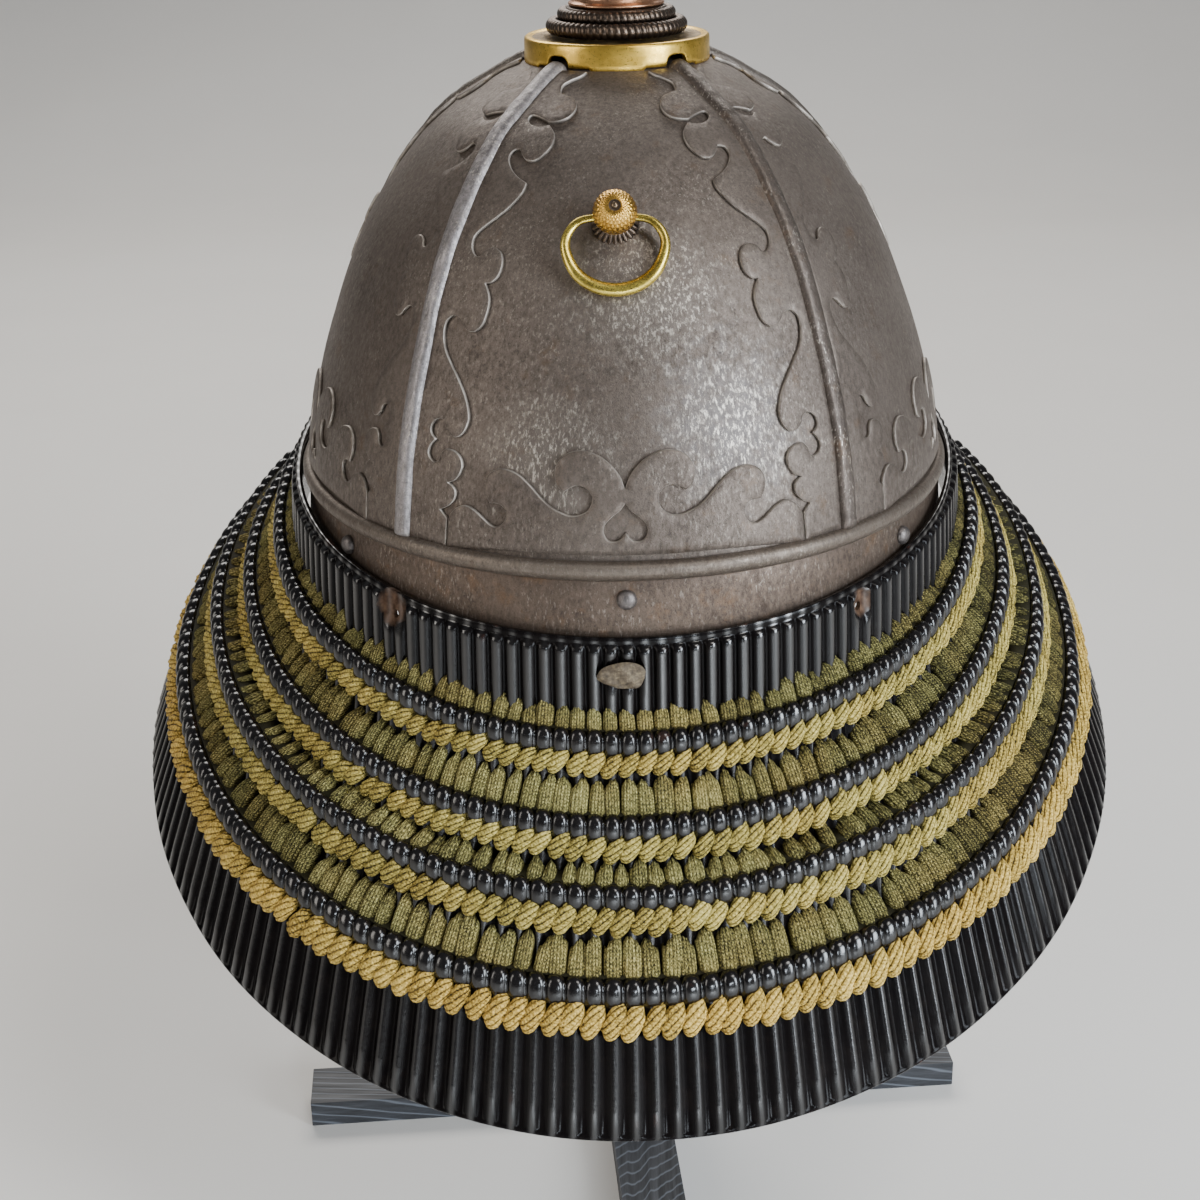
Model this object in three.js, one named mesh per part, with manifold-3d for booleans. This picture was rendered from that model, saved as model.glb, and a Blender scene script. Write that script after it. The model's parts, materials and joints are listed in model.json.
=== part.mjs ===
// Kabuto: an iron samurai helmet with a five-lame laced neck guard, on a plain wooden stand.
// Millimetres, +Z up, +Y the wearer's forward, +X the wearer's right.
// The origin is the centre of the stand's underside.
import * as THREE from 'three';
import { mergeVertices } from 'three/addons/utils/BufferGeometryUtils.js';
import Module from 'manifold-3d';

const wasm = await Module();
wasm.setup();

// ---------------------------------------------------------------- driving dimensions
const GAP = 0.35;                 // air left between neighbouring pieces
const WAIST_Z = 262;              // height of the bowl's waist above the table
const BOWL_HALF_WIDTH = 104;      // at the waist
const BOWL_WALL = 2.4;
const DEPTH_STRETCH = 0.126;      // how much longer than wide the bowl is at the waist
const ROUND_BELOW = 20;           // half width under which the bowl is round in plan
const CROWN_HOLE_RADIUS = 9;
const AROUND = 32;                // facets round the bowl
const STEP = 360 / AROUND;
const DOME_ROWS = 8;

const RIB_WIDTH = 7.0;
const RIB_HEIGHT = 3.0;
const FRAME_THICK = 1.0;          // scroll-edged frame plates
const HEART_HALF_WIDTH = 6.0;
const HEART_LOW = 8.0;
const HEART_HIGH = 18.7;

const BEAD_HALF_WIDTH = 106.6;
const BAND_TOP_Z = -3.8;
const BAND_LOW_Z = -20.5;
const BAND_TOP_HALF_WIDTH = 104.8;
const BAND_LOW_HALF_WIDTH = 105.8;
const BAND_WALL = 2.0;
const RIVET_RADIUS = 2.6;
const RIVET_HEIGHT = 1.4;
const RIVET_Z = -9;

const PLATE_RADIUS = 29;
const PLATE_TOP_Z = 133.4;
const PLATE_LOW_Z = 126.8;
const PLATE_WALL = 1.7;
const COLLAR_TOP_Z = 150;

const STUD_SIDE = -1.6;           // the ring hangs a little to the wearer's left
const STUD_Z = 90.6;              // where the stud's axis meets the bowl
const BALL_RADIUS = 6.2;
const BALL_OUT = 9.2;             // ball centre above the bowl
const HINGE_OUT = 4.7;            // ring axis above the bowl
const RING_BAR_RADIUS = 1.25;
const RING_HANG_ANGLE = 27;       // degrees out from straight down, at rest on the bowl

const LAME_THICK = 1.6;
const LAME_DEPTH_EXTRA = 12.7;    // a lame is this much deeper than it is wide, each way
const HEAD_PROUD = 2.0;           // scale heads stand out along a lame's top edge
const HEAD_HEIGHT = 5.2;
const SHORT_SIDE_OF_TIE = 4.0;

const BAR_LENGTH = 245;
const BAR_WIDTH = 22;
const BAR_HEIGHT = 10;
const STAND_TURN = 4.7;           // the stand is turned a little under the helmet
const POST_WIDTH = 24;
const PAD_LOW_Z = 104;

const rad = THREE.MathUtils.degToRad;

// Outline of the bowl from the waist to the crown hole: half width and height.
const BOWL_SECTIONS = [
  { halfWidth: 104.3, z: -3.2 },
  { halfWidth: 100.2, z: 25 },
  { halfWidth: 92.8, z: 50 },
  { halfWidth: 82.5, z: 75 },
  { halfWidth: 72.0, z: 92 },
  { halfWidth: 57.0, z: 109 },
  { halfWidth: 40.0, z: 120 },
  { halfWidth: 28.5, z: 125.8 },
  { halfWidth: 19.0, z: 128.6 },
  { halfWidth: CROWN_HOLE_RADIUS, z: 130.0 },
];

// Raised ribs, by angle round the bowl: 0 is the back, 90 the wearer's right.
const RIBS = [
  { name: 'rib_back_left', at: -39 },
  { name: 'rib_back_right', at: 39 },
  { name: 'rib_side_left', at: -107 },
  { name: 'rib_side_right', at: 107 },
  { name: 'rib_front', at: 180 },
];

// Panels between the ribs: each is a plate of the bowl with a scroll-edged frame plate on it.
const PANELS = [
  { name: 'back', from: -39, to: 39 },
  { name: 'side_right', from: 39, to: 107 },
  { name: 'front_right', from: 107, to: 180 },
  { name: 'front_left', from: 180, to: 253 },
  { name: 'side_left', from: 253, to: 321 },
];

// Scrolled inner edge of a frame, from the cusp at the bottom middle round to the top.
const SCROLL_BOTTOM = [
  { across: 0.0, up: 22.6 },
  { across: 6.0, up: 31.0 },
  { across: 14.0, up: 32.6 },
  { across: 18.8, up: 27.0 },
  { across: 11.2, up: 20.4 },
  { across: 17.0, up: 15.2 },
  { across: 27.0, up: 23.4 },
  { across: 33.4, up: 25.6 },
  { across: 38.0, up: 18.4 },
  { across: 36.0, up: 12.8 },
  { across: 44.4, up: 13.8 },
];
const SCROLL_SIDE = [
  { across: 50.4, up: 12.4 },
  { across: 48.6, up: 20.0 },
  { across: 45.0, up: 26.6 },
  { across: 52.4, up: 32.4 },
  { across: 46.2, up: 33.4 },
  { across: 42.4, up: 38.6 },
  { across: 44.2, up: 48.0 },
  { across: 48.8, up: 59.4 },
  { across: 38.6, up: 64.4 },
  { across: 37.0, up: 72.6 },
  { across: 33.0, up: 79.6 },
  { across: 39.6, up: 84.4 },
  { across: 26.4, up: 98.0 },
  { across: 28.6, up: 105.0 },
  { across: 20.6, up: 107.0 },
  { across: 19.4, up: 113.8 },
  { across: 11.6, up: 116.0 },
  { across: 8.6, up: 122.8 },
];

// Lames of the neck guard. Each edge: reach at the back, height at the back, and how much
// it rises for each millimetre forward. ends is the angle at which the lame stops.
const LAMES = [
  { topReach: 121.7, topZ: -19.5, topRise: 0.17, lowReach: 123.4, lowZ: -53, lowRise: 0.245, ends: 126 },
  { topReach: 128.0, topZ: -45.5, topRise: 0.245, lowReach: 133.5, lowZ: -76, lowRise: 0.26, ends: 117 },
  { topReach: 139.0, topZ: -67.0, topRise: 0.26, lowReach: 145.0, lowZ: -92, lowRise: 0.27, ends: 117 },
  { topReach: 151.0, topZ: -83.0, topRise: 0.27, lowReach: 158.0, lowZ: -116, lowRise: 0.285, ends: 117 },
  { topReach: 163.5, topZ: -106, topRise: 0.285, lowReach: 178.0, lowZ: -151.2, lowRise: 0.32, ends: 117 },
];

// Bands of upright lacing, each on the lame of the same number: top and low height at the back,
// and how thick it is at the top. Lower down it reaches the inside of the next lame.
const LACE_BANDS = [
  { topZ: -40.5, lowZ: -50.0, thick: 2.2 },
  { topZ: -59.5, lowZ: -72.0, thick: 3.0 },
  { topZ: -80.0, lowZ: -88.5, thick: 3.2 },
  { topZ: -98.0, lowZ: -112.0, thick: 3.2 },
];

// Slanting rope-like lacing, each under the scale heads of the next lame.
const ROPE_ROWS = [
  { topZ: -51.0, lowZ: -58.2 },
  { topZ: -72.5, lowZ: -80.0 },
  { topZ: -88.6, lowZ: -97.4 },
  { topZ: -112.2, lowZ: -121.6 },
];
const ROPE_THICK = 3.2;

// ---------------------------------------------------------------- looks
const LOOKS = {
  iron: { color: 0x55483f, roughness: 0.55, metalness: 0.75 },
  bandIron: { color: 0x5a4437, roughness: 0.6, metalness: 0.7 },
  brass: { color: 0xb98f3a, roughness: 0.35, metalness: 0.95 },
  bronze: { color: 0x3a2f28, roughness: 0.4, metalness: 0.85 },
  copper: { color: 0x96643c, roughness: 0.35, metalness: 0.9 },
  lacquer: { color: 0x121012, roughness: 0.22, metalness: 0.0 },
  lace: { color: 0x7d7540, roughness: 0.9, metalness: 0.0 },
  rope: { color: 0xa58c46, roughness: 0.85, metalness: 0.0 },
  leather: { color: 0x5c4a30, roughness: 0.8, metalness: 0.0 },
  wood: { color: 0x26272a, roughness: 0.7, metalness: 0.0 },
};

const helmet = new THREE.Group();

function addPiece(name, geometry, look) {
  const mesh = new THREE.Mesh(geometry, new THREE.MeshStandardMaterial(LOOKS[look]));
  mesh.name = name;
  helmet.add(mesh);
  return mesh;
}

// ---------------------------------------------------------------- geometry helpers
function signedVolume(positions, index) {
  const a = new THREE.Vector3();
  const b = new THREE.Vector3();
  const c = new THREE.Vector3();
  let total = 0;
  for (let i = 0; i < index.length; i += 3) {
    a.fromArray(positions, index[i] * 3);
    b.fromArray(positions, index[i + 1] * 3);
    c.fromArray(positions, index[i + 2] * 3);
    total += a.dot(b.cross(c));
  }
  return total;
}

// Skins a row of loops, all with the same number of points. Each loop goes out along one
// face and back along the other, so an open end is closed by a strip between the two.
function loft(loops, closes) {
  const count = loops[0].length;
  const positions = loops.flat().flatMap((point) => point.toArray());
  const index = [];
  const last = closes ? loops.length : loops.length - 1;
  for (let i = 0; i < last; i += 1) {
    const here = i * count;
    const next = ((i + 1) % loops.length) * count;
    for (let j = 0; j < count; j += 1) {
      const k = (j + 1) % count;
      index.push(here + j, next + j, next + k);
      index.push(here + j, next + k, here + k);
    }
  }
  if (!closes) {
    const end = (loops.length - 1) * count;
    for (let j = 0; j < Math.floor((count - 1) / 2); j += 1) {
      const far = count - 1 - j;
      index.push(j, j + 1, far, end + j, end + far, end + j + 1);
      if (far - 1 > j + 1) {
        index.push(j + 1, far - 1, far, end + j + 1, end + far, end + far - 1);
      }
    }
  }
  if (signedVolume(positions, index) < 0) {
    index.reverse();
  }
  const geometry = new THREE.BufferGeometry();
  geometry.setAttribute('position', new THREE.Float32BufferAttribute(positions, 3));
  geometry.setIndex(index);
  return geometry;
}

function toSolid(geometry) {
  const bare = geometry.clone();
  bare.deleteAttribute('normal');
  bare.deleteAttribute('uv');
  const merged = mergeVertices(bare, 1e-4);
  const mesh = new wasm.Mesh({
    numProp: 3,
    vertProperties: new Float32Array(merged.attributes.position.array),
    triVerts: new Uint32Array(merged.index.array),
  });
  return new wasm.Manifold(mesh);
}

function toGeometry(solid) {
  const mesh = solid.getMesh();
  const geometry = new THREE.BufferGeometry();
  geometry.setAttribute('position', new THREE.BufferAttribute(mesh.vertProperties, 3));
  geometry.setIndex(new THREE.BufferAttribute(mesh.triVerts, 1));
  return geometry;
}

function cut(geometry, cutters) {
  let solid = toSolid(geometry);
  for (const cutter of cutters) {
    solid = solid.subtract(toSolid(cutter));
  }
  return toGeometry(solid);
}

function anglesBetween(from, to) {
  const angles = [from];
  for (let at = (Math.floor(from / STEP) + 1) * STEP; at < to - 1e-6; at += STEP) {
    angles.push(at);
  }
  angles.push(to);
  return angles;
}

// ---------------------------------------------------------------- the bowl's surface
const bowlCurve = new THREE.SplineCurve(
  BOWL_SECTIONS.map((row) => new THREE.Vector2(row.halfWidth, row.z)),
);
bowlCurve.arcLengthDivisions = 400;

function halfDepth(halfWidth) {
  const share = (halfWidth - ROUND_BELOW) / (BOWL_HALF_WIDTH - ROUND_BELOW);
  return halfWidth * (1 + DEPTH_STRETCH * THREE.MathUtils.clamp(share, 0, 1));
}

// A point at an angle round the helmet, from its half width and height above the waist.
function ovalPoint(angle, halfWidth, z) {
  const turn = rad(angle);
  return new THREE.Vector3(
    halfWidth * Math.sin(turn),
    -halfDepth(halfWidth) * Math.cos(turn),
    z + WAIST_Z,
  );
}

// The bowl's outline at a share of its length from the waist, moved out by offset.
function bowlOutline(share, offset) {
  const point = bowlCurve.getPointAt(share);
  const along = bowlCurve.getTangentAt(share);
  return new THREE.Vector2(point.x + along.y * offset, point.y - along.x * offset);
}

function bowlPoint(angle, share, offset) {
  const outline = bowlOutline(share, offset);
  return ovalPoint(angle, outline.x, outline.y);
}

// The share of the outline at which the bowl reaches a height.
function shareAtHeight(z) {
  let low = 0;
  let high = 1;
  for (let i = 0; i < 30; i += 1) {
    const middle = (low + high) / 2;
    if (bowlCurve.getPointAt(middle).y < z) {
      low = middle;
    } else {
      high = middle;
    }
  }
  return low;
}

function evenShares(rows) {
  return Array.from({ length: rows + 1 }, (_, i) => i / rows);
}

const rowShares = evenShares(DOME_ROWS);

function ring(section, from = 0, to = 360) {
  const whole = to - from >= 360;
  const angles = anglesBetween(from, to);
  if (whole) {
    angles.pop();
  }
  return loft(angles.map((angle) => section(angle)), whole);
}

// ---------------------------------------------------------------- bowl, bead and band
// A shell between two ribs. Its edges keep a clearance from the ribs' axes at every height.
function panelShell(from, to, { clearance, shares, outer, inner }) {
  const columns = anglesBetween(from, to);
  const point = (share, column, offset) => {
    const halfWidth = bowlOutline(share, 0).x;
    const margin = THREE.MathUtils.radToDeg(clearance / halfWidth);
    const angle = THREE.MathUtils.clamp(columns[column], from + margin, to - margin);
    return bowlPoint(angle, share, offset);
  };
  const loops = shares.map((share) => {
    const outside = columns.map((_, column) => point(share, column, outer));
    const inside = columns.map((_, column) => point(share, column, inner));
    return outside.concat(inside.reverse());
  });
  return loft(loops, false);
}

// The bowl is five plates that meet under the ribs.
for (const panel of PANELS) {
  const wall = { clearance: GAP / 2, shares: rowShares, outer: 0, inner: -BOWL_WALL };
  addPiece(`bowl_${panel.name}`, panelShell(panel.from, panel.to, wall), 'iron');
}

function beadSection(angle) {
  const seat = BOWL_HALF_WIDTH + 3 * GAP;
  return [
    ovalPoint(angle, seat, 4.0),
    ovalPoint(angle, BEAD_HALF_WIDTH - 1, 3.2),
    ovalPoint(angle, BEAD_HALF_WIDTH, 0.6),
    ovalPoint(angle, BEAD_HALF_WIDTH - 0.2, -2.6),
    ovalPoint(angle, seat, -3.2),
  ];
}
addPiece('waist_bead', ring(beadSection), 'iron');

function bandSection(angle) {
  return [
    ovalPoint(angle, BAND_TOP_HALF_WIDTH, BAND_TOP_Z),
    ovalPoint(angle, BAND_LOW_HALF_WIDTH, BAND_LOW_Z),
    ovalPoint(angle, BAND_LOW_HALF_WIDTH - BAND_WALL, BAND_LOW_Z),
    ovalPoint(angle, BAND_TOP_HALF_WIDTH - BAND_WALL, BAND_TOP_Z),
  ];
}
addPiece('waist_band', ring(bandSection), 'bandIron');

// ---------------------------------------------------------------- ribs
const RIB_TOP_SHARE = shareAtHeight(125.2);
const RIB_LOW_SHARE = shareAtHeight(4.6);

// A low rounded bar up the bowl. extra widens it all round, for the cut in the crown plate.
function ribGeometry(at, extra) {
  const shares = rowShares.filter((share) => share > RIB_LOW_SHARE && share < RIB_TOP_SHARE);
  shares.unshift(RIB_LOW_SHARE);
  shares.push(extra > 0 ? RIB_TOP_SHARE + 0.05 : RIB_TOP_SHARE);
  const loops = shares.map((share) => {
    const half = RIB_WIDTH / 2 + extra;
    const height = RIB_HEIGHT + extra;
    const section = [
      { side: -half, out: extra > 0 ? -1 : GAP },
      { side: -half * 0.7, out: height * 0.85 },
      { side: 0, out: height },
      { side: half * 0.7, out: height * 0.85 },
      { side: half, out: extra > 0 ? -1 : GAP },
    ];
    const middle = bowlPoint(at, share, 0);
    const across = bowlPoint(at + 0.5, share, 0).sub(bowlPoint(at - 0.5, share, 0)).setZ(0).normalize();
    return section.map((corner) => {
      const lift = bowlPoint(at, share, corner.out).sub(middle);
      return middle.clone().add(lift).addScaledVector(across, corner.side);
    });
  });
  return loft(loops, false);
}
for (const rib of RIBS) {
  addPiece(rib.name, ribGeometry(rib.at, 0), 'iron');
}

// ---------------------------------------------------------------- frames with scrolled edges
function fieldShape() {
  const half = [...SCROLL_BOTTOM, ...SCROLL_SIDE].map((row) => new THREE.Vector2(row.across, row.up));
  const mirrored = half.slice(1).map((point) => new THREE.Vector2(-point.x, point.y)).reverse();
  return new THREE.Shape([...half, ...mirrored]);
}

function heartShape() {
  const shape = new THREE.Shape();
  const w = HEART_HALF_WIDTH;
  shape.moveTo(0, HEART_HIGH);
  shape.bezierCurveTo(w * 0.35, HEART_LOW + 7.5, w * 1.25, HEART_LOW + 5.5, w * 0.95, HEART_LOW + 2.2);
  shape.bezierCurveTo(w * 0.75, HEART_LOW - 0.4, w * 0.2, HEART_LOW - 0.4, 0, HEART_LOW + 1.6);
  shape.bezierCurveTo(-w * 0.2, HEART_LOW - 0.4, -w * 0.75, HEART_LOW - 0.4, -w * 0.95, HEART_LOW + 2.2);
  shape.bezierCurveTo(-w * 1.25, HEART_LOW + 5.5, -w * 0.35, HEART_LOW + 7.5, 0, HEART_HIGH);
  return shape;
}

// Stands a flat outline up, facing out at an angle round the bowl, as a cutting prism.
function facingPrism(shape, angle, curveSegments) {
  const prism = new THREE.ExtrudeGeometry(shape, { depth: 160, bevelEnabled: false, curveSegments });
  prism.rotateX(Math.PI / 2);
  prism.rotateZ(outwardTurn(angle));
  prism.translate(0, 0, WAIST_Z);
  return prism;
}

// The turn about Z that faces -Y towards the bowl's outward direction at an angle.
function outwardTurn(angle) {
  const outward = ovalPoint(angle, BOWL_HALF_WIDTH, 0);
  return Math.atan2(outward.x, -outward.y);
}

const FRAME_TOP_SHARE = shareAtHeight(124.2);
const FRAME_LOW_SHARE = shareAtHeight(4.6);

const frameShares = rowShares.filter((share) => share > FRAME_LOW_SHARE && share < FRAME_TOP_SHARE);
frameShares.unshift(FRAME_LOW_SHARE);
frameShares.push(FRAME_TOP_SHARE);
const FRAME_SHELL = {
  clearance: RIB_WIDTH / 2 + GAP,
  shares: frameShares,
  outer: GAP + FRAME_THICK,
  inner: GAP,
};

for (const panel of PANELS) {
  const middle = (panel.from + panel.to) / 2;
  const cutters = [
    facingPrism(fieldShape(), middle, 1),
    facingPrism(heartShape(), middle, 2),
  ];
  addPiece(`frame_${panel.name}`, cut(panelShell(panel.from, panel.to, FRAME_SHELL), cutters), 'iron');
}

// ---------------------------------------------------------------- rivets of the waist band
function turned(profile, segments) {
  const points = profile.map(([radius, z]) => new THREE.Vector2(radius, z));
  const geometry = new THREE.LatheGeometry(points, segments);
  geometry.rotateX(Math.PI / 2);
  return geometry;
}

const rivetProfile = [
  [0, 0],
  [RIVET_RADIUS, 0],
  [RIVET_RADIUS * 0.85, RIVET_HEIGHT * 0.6],
  [RIVET_RADIUS * 0.45, RIVET_HEIGHT * 0.93],
  [0, RIVET_HEIGHT],
];
const RIVET_ANGLES = [0, 53.7, -53.7, 107, -107];
RIVET_ANGLES.forEach((angle, i) => {
  const foot = ovalPoint(angle, BAND_LOW_HALF_WIDTH - 0.7, RIVET_Z);
  const rivet = addPiece(`band_rivet_${i + 1}`, turned(rivetProfile, 8), 'bandIron');
  const turn = outwardTurn(angle);
  const outward = new THREE.Vector3(Math.sin(turn), -Math.cos(turn), 0);
  rivet.quaternion.setFromUnitVectors(new THREE.Vector3(0, 0, 1), outward);
  rivet.position.copy(foot.addScaledVector(outward, GAP));
});

// ---------------------------------------------------------------- crown fitting
const plateProfile = [
  [CROWN_HOLE_RADIUS, PLATE_TOP_Z - 2.0],
  [PLATE_RADIUS - PLATE_WALL, PLATE_TOP_Z - 2.0],
  [PLATE_RADIUS - PLATE_WALL, PLATE_LOW_Z],
  [PLATE_RADIUS - 0.6, PLATE_LOW_Z],
  [PLATE_RADIUS, PLATE_TOP_Z - 1.2],
  [PLATE_RADIUS - 0.8, PLATE_TOP_Z],
  [CROWN_HOLE_RADIUS, PLATE_TOP_Z],
  [CROWN_HOLE_RADIUS, PLATE_TOP_Z - 2.0],
];
const plate = turned(plateProfile, 24);
plate.translate(0, 0, WAIST_Z);
const notches = RIBS.map((rib) => ribGeometry(rib.at, 0.5));
addPiece('crown_plate', cut(plate, notches), 'brass');

function crownRing(name, radius, thickness, z) {
  const ringPiece = addPiece(name, new THREE.TorusGeometry(radius, thickness, 5, 20), 'bronze');
  ringPiece.position.set(0, 0, WAIST_Z + z);
}
crownRing('rope_ring_lower', 19.6, 2.4, 136.2);
crownRing('rope_ring_upper', 16.5, 1.9, 139.8);

const collarProfile = [
  [CROWN_HOLE_RADIUS, PLATE_TOP_Z + GAP],
  [13.6, PLATE_TOP_Z + GAP],
  [13.6, 141.8],
  [15.2, 142.4],
  [13.3, 144.0],
  [12.9, COLLAR_TOP_Z - 3],
  [14.2, COLLAR_TOP_Z - 1],
  [12.4, COLLAR_TOP_Z],
  [CROWN_HOLE_RADIUS, COLLAR_TOP_Z - 3],
  [CROWN_HOLE_RADIUS, PLATE_TOP_Z + GAP],
];
const collar = turned(collarProfile, 16);
collar.translate(0, 0, WAIST_Z);
addPiece('crown_collar', collar, 'copper');

// ---------------------------------------------------------------- hanging ring and its stud
const studShare = shareAtHeight(STUD_Z);
const studFoot = bowlPoint(0, studShare, 0).setX(STUD_SIDE);
const studTip = bowlPoint(0, studShare, 1).setX(STUD_SIDE);
const studAxis = studTip.sub(studFoot).normalize();
const alongStud = new THREE.Quaternion().setFromUnitVectors(new THREE.Vector3(0, 0, 1), studAxis);

const baseProfile = [
  [0, 0.6],
  [6.8, 0.6],
  [7.0, 1.0],
  [4.6, 2.2],
  [0, 2.4],
];
const studBase = addPiece('stud_base', turned(baseProfile, 16), 'bronze');
studBase.quaternion.copy(alongStud);
studBase.position.copy(studFoot);

const studProfile = [[0, 2.75], [3.5, 2.75]];
const BALL_ROWS = 6;
const neckAngle = Math.asin(3.5 / BALL_RADIUS);
for (let i = 0; i <= BALL_ROWS; i += 1) {
  const angle = neckAngle + ((Math.PI - neckAngle) * i) / BALL_ROWS;
  const radius = i === BALL_ROWS ? 0 : BALL_RADIUS * Math.sin(angle);
  studProfile.push([radius, BALL_OUT - BALL_RADIUS * Math.cos(angle)]);
}
const boreGeometry = new THREE.CylinderGeometry(RING_BAR_RADIUS + GAP, RING_BAR_RADIUS + GAP, 30, 8);
boreGeometry.rotateZ(Math.PI / 2);
boreGeometry.translate(0, 0, HINGE_OUT);
const stud = addPiece('ring_stud', cut(turned(studProfile, 12), [boreGeometry]), 'brass');
stud.quaternion.copy(alongStud);
stud.position.copy(studFoot);

// The ring lies in its own plane: across it, and down from the bar that goes through the stud.
const RING_PATH = [
  { across: 0, down: 0 },
  { across: 6.0, down: 0 },
  { across: 10.6, down: 1.2 },
  { across: 13.6, down: 5.0 },
  { across: 14.0, down: 9.6 },
  { across: 11.4, down: 15.6 },
  { across: 6.4, down: 19.6 },
  { across: 0, down: 21.0 },
];
const hangDown = new THREE.Vector3(0, -Math.sin(rad(RING_HANG_ANGLE)), -Math.cos(rad(RING_HANG_ANGLE)));
const hinge = studFoot.clone().addScaledVector(studAxis, HINGE_OUT);
const rightHalf = RING_PATH.map((row) => (
  hinge.clone().add(new THREE.Vector3(row.across, 0, 0)).addScaledVector(hangDown, row.down)
));
const leftHalf = RING_PATH.slice(1, -1).reverse().map((row) => (
  hinge.clone().add(new THREE.Vector3(-row.across, 0, 0)).addScaledVector(hangDown, row.down)
));
const ringCurve = new THREE.CatmullRomCurve3([...rightHalf, ...leftHalf], true, 'centripetal');
const RING_STEPS = 22;
const ringLoops = [];
const ringNormal = new THREE.Vector3(1, 0, 0).cross(hangDown).normalize();
for (let i = 0; i < RING_STEPS; i += 1) {
  const middle = ringCurve.getPointAt(i / RING_STEPS);
  const outwards = ringCurve.getTangentAt(i / RING_STEPS).cross(ringNormal).normalize();
  const loop = [];
  for (let j = 0; j < 6; j += 1) {
    const turn = (j / 6) * Math.PI * 2;
    loop.push(middle.clone()
      .addScaledVector(ringNormal, RING_BAR_RADIUS * Math.cos(turn))
      .addScaledVector(outwards, RING_BAR_RADIUS * Math.sin(turn)));
  }
  ringLoops.push(loop);
}
addPiece('hanging_ring', loft(ringLoops, true), 'brass');

// ---------------------------------------------------------------- neck guard
function lamePoint(angle, reach, z, rise, inward) {
  const turn = rad(angle);
  return new THREE.Vector3(
    (reach - LAME_DEPTH_EXTRA - inward) * Math.sin(turn),
    -(reach - inward) * Math.cos(turn),
    WAIST_Z + z + rise * (reach - reach * Math.cos(turn)),
  );
}

// A point on a lame's outer face, at a height given for the back, moved out by offset.
function onLame(lame, angle, z, offset) {
  const share = (lame.topZ - z) / (lame.topZ - lame.lowZ);
  const reach = THREE.MathUtils.lerp(lame.topReach, lame.lowReach, share);
  const rise = THREE.MathUtils.lerp(lame.topRise, lame.lowRise, share);
  return lamePoint(angle, reach, z, rise, -offset);
}

function lameSection(lame, angle, hasHeads) {
  const proud = hasHeads ? HEAD_PROUD : 0.5;
  return [
    onLame(lame, angle, lame.topZ, -LAME_THICK),
    onLame(lame, angle, lame.topZ, proud * 0.6),
    onLame(lame, angle, lame.topZ - HEAD_HEIGHT * 0.45, proud),
    onLame(lame, angle, lame.topZ - HEAD_HEIGHT, 0),
    onLame(lame, angle, lame.lowZ, 0),
    onLame(lame, angle, lame.lowZ, -LAME_THICK),
  ];
}

const lacingHole = new THREE.CylinderGeometry(1.5, 1.5, 12, 6);
function holeThrough(angle, z) {
  const hole = lacingHole.clone();
  hole.rotateZ(outwardTurn(angle));
  const middle = onLame(LAMES[0], angle, z, 0);
  hole.translate(middle.x, middle.y, middle.z);
  return hole;
}

LAMES.forEach((lame, i) => {
  let geometry = ring((angle) => lameSection(lame, angle, i > 0), -lame.ends, lame.ends);
  if (i === 0) {
    geometry = cut(geometry, [holeThrough(-39, -27), holeThrough(39, -27)]);
  }
  addPiece(`lame_${i + 1}`, geometry, 'lacquer');
});

function laceSection(under, over, angle, band) {
  const inside = -LAME_THICK - GAP;
  return [
    onLame(under, angle, band.topZ, GAP),
    onLame(under, angle, band.topZ, GAP + band.thick),
    onLame(over, angle, over.topZ, inside),
    onLame(over, angle, band.lowZ, inside),
    onLame(under, angle, band.lowZ, GAP),
  ];
}

LACE_BANDS.forEach((band, i) => {
  const [under, over] = [LAMES[i], LAMES[i + 1]];
  const section = (angle) => laceSection(under, over, angle, band);
  addPiece(`lace_band_${i + 1}`, ring(section, -over.ends, over.ends), 'lace');
});

function ropeSection(lame, angle, row) {
  const height = row.topZ - row.lowZ;
  return [
    onLame(lame, angle, row.topZ, GAP),
    onLame(lame, angle, row.topZ - height * 0.2, GAP + ROPE_THICK),
    onLame(lame, angle, row.lowZ + height * 0.2, GAP + ROPE_THICK),
    onLame(lame, angle, row.lowZ, GAP),
  ];
}

ROPE_ROWS.forEach((row, i) => {
  const lame = LAMES[i + 1];
  const section = (angle) => ropeSection(lame, angle, row);
  addPiece(`rope_row_${i + 1}`, ring(section, -lame.ends, lame.ends), 'rope');
});

const tieGeometry = new THREE.SphereGeometry(1, 12, 6);
tieGeometry.scale(6.8, 1.5, SHORT_SIDE_OF_TIE);
const tie = addPiece('leather_tie', tieGeometry, 'leather');
tie.position.copy(onLame(LAMES[0], 0, -30, 1.5 + 2 * GAP).setX(-2));

// ---------------------------------------------------------------- peak over the brow
const PEAK_FROM = 128;
const PEAK_REACH = 44;
const PEAK_DROP = 20;
function peakSection(angle) {
  const share = (angle - PEAK_FROM) / (360 - 2 * PEAK_FROM);
  const reach = 4 + (PEAK_REACH - 4) * Math.sin(share * Math.PI) ** 0.8;
  const inner = BAND_LOW_HALF_WIDTH + GAP;
  const drop = PEAK_DROP * (reach / PEAK_REACH);
  return [
    ovalPoint(angle, inner, -6),
    ovalPoint(angle, inner + reach, -6 - drop),
    ovalPoint(angle, inner + reach, -8 - drop),
    ovalPoint(angle, inner, -8),
  ];
}
addPiece('peak', ring(peakSection, PEAK_FROM, 360 - PEAK_FROM), 'bandIron');

// ---------------------------------------------------------------- stand
function placedBox(width, depth, height, x, y, z) {
  const box = new THREE.BoxGeometry(width, depth, height);
  box.translate(x, y, z);
  return box;
}

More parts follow.
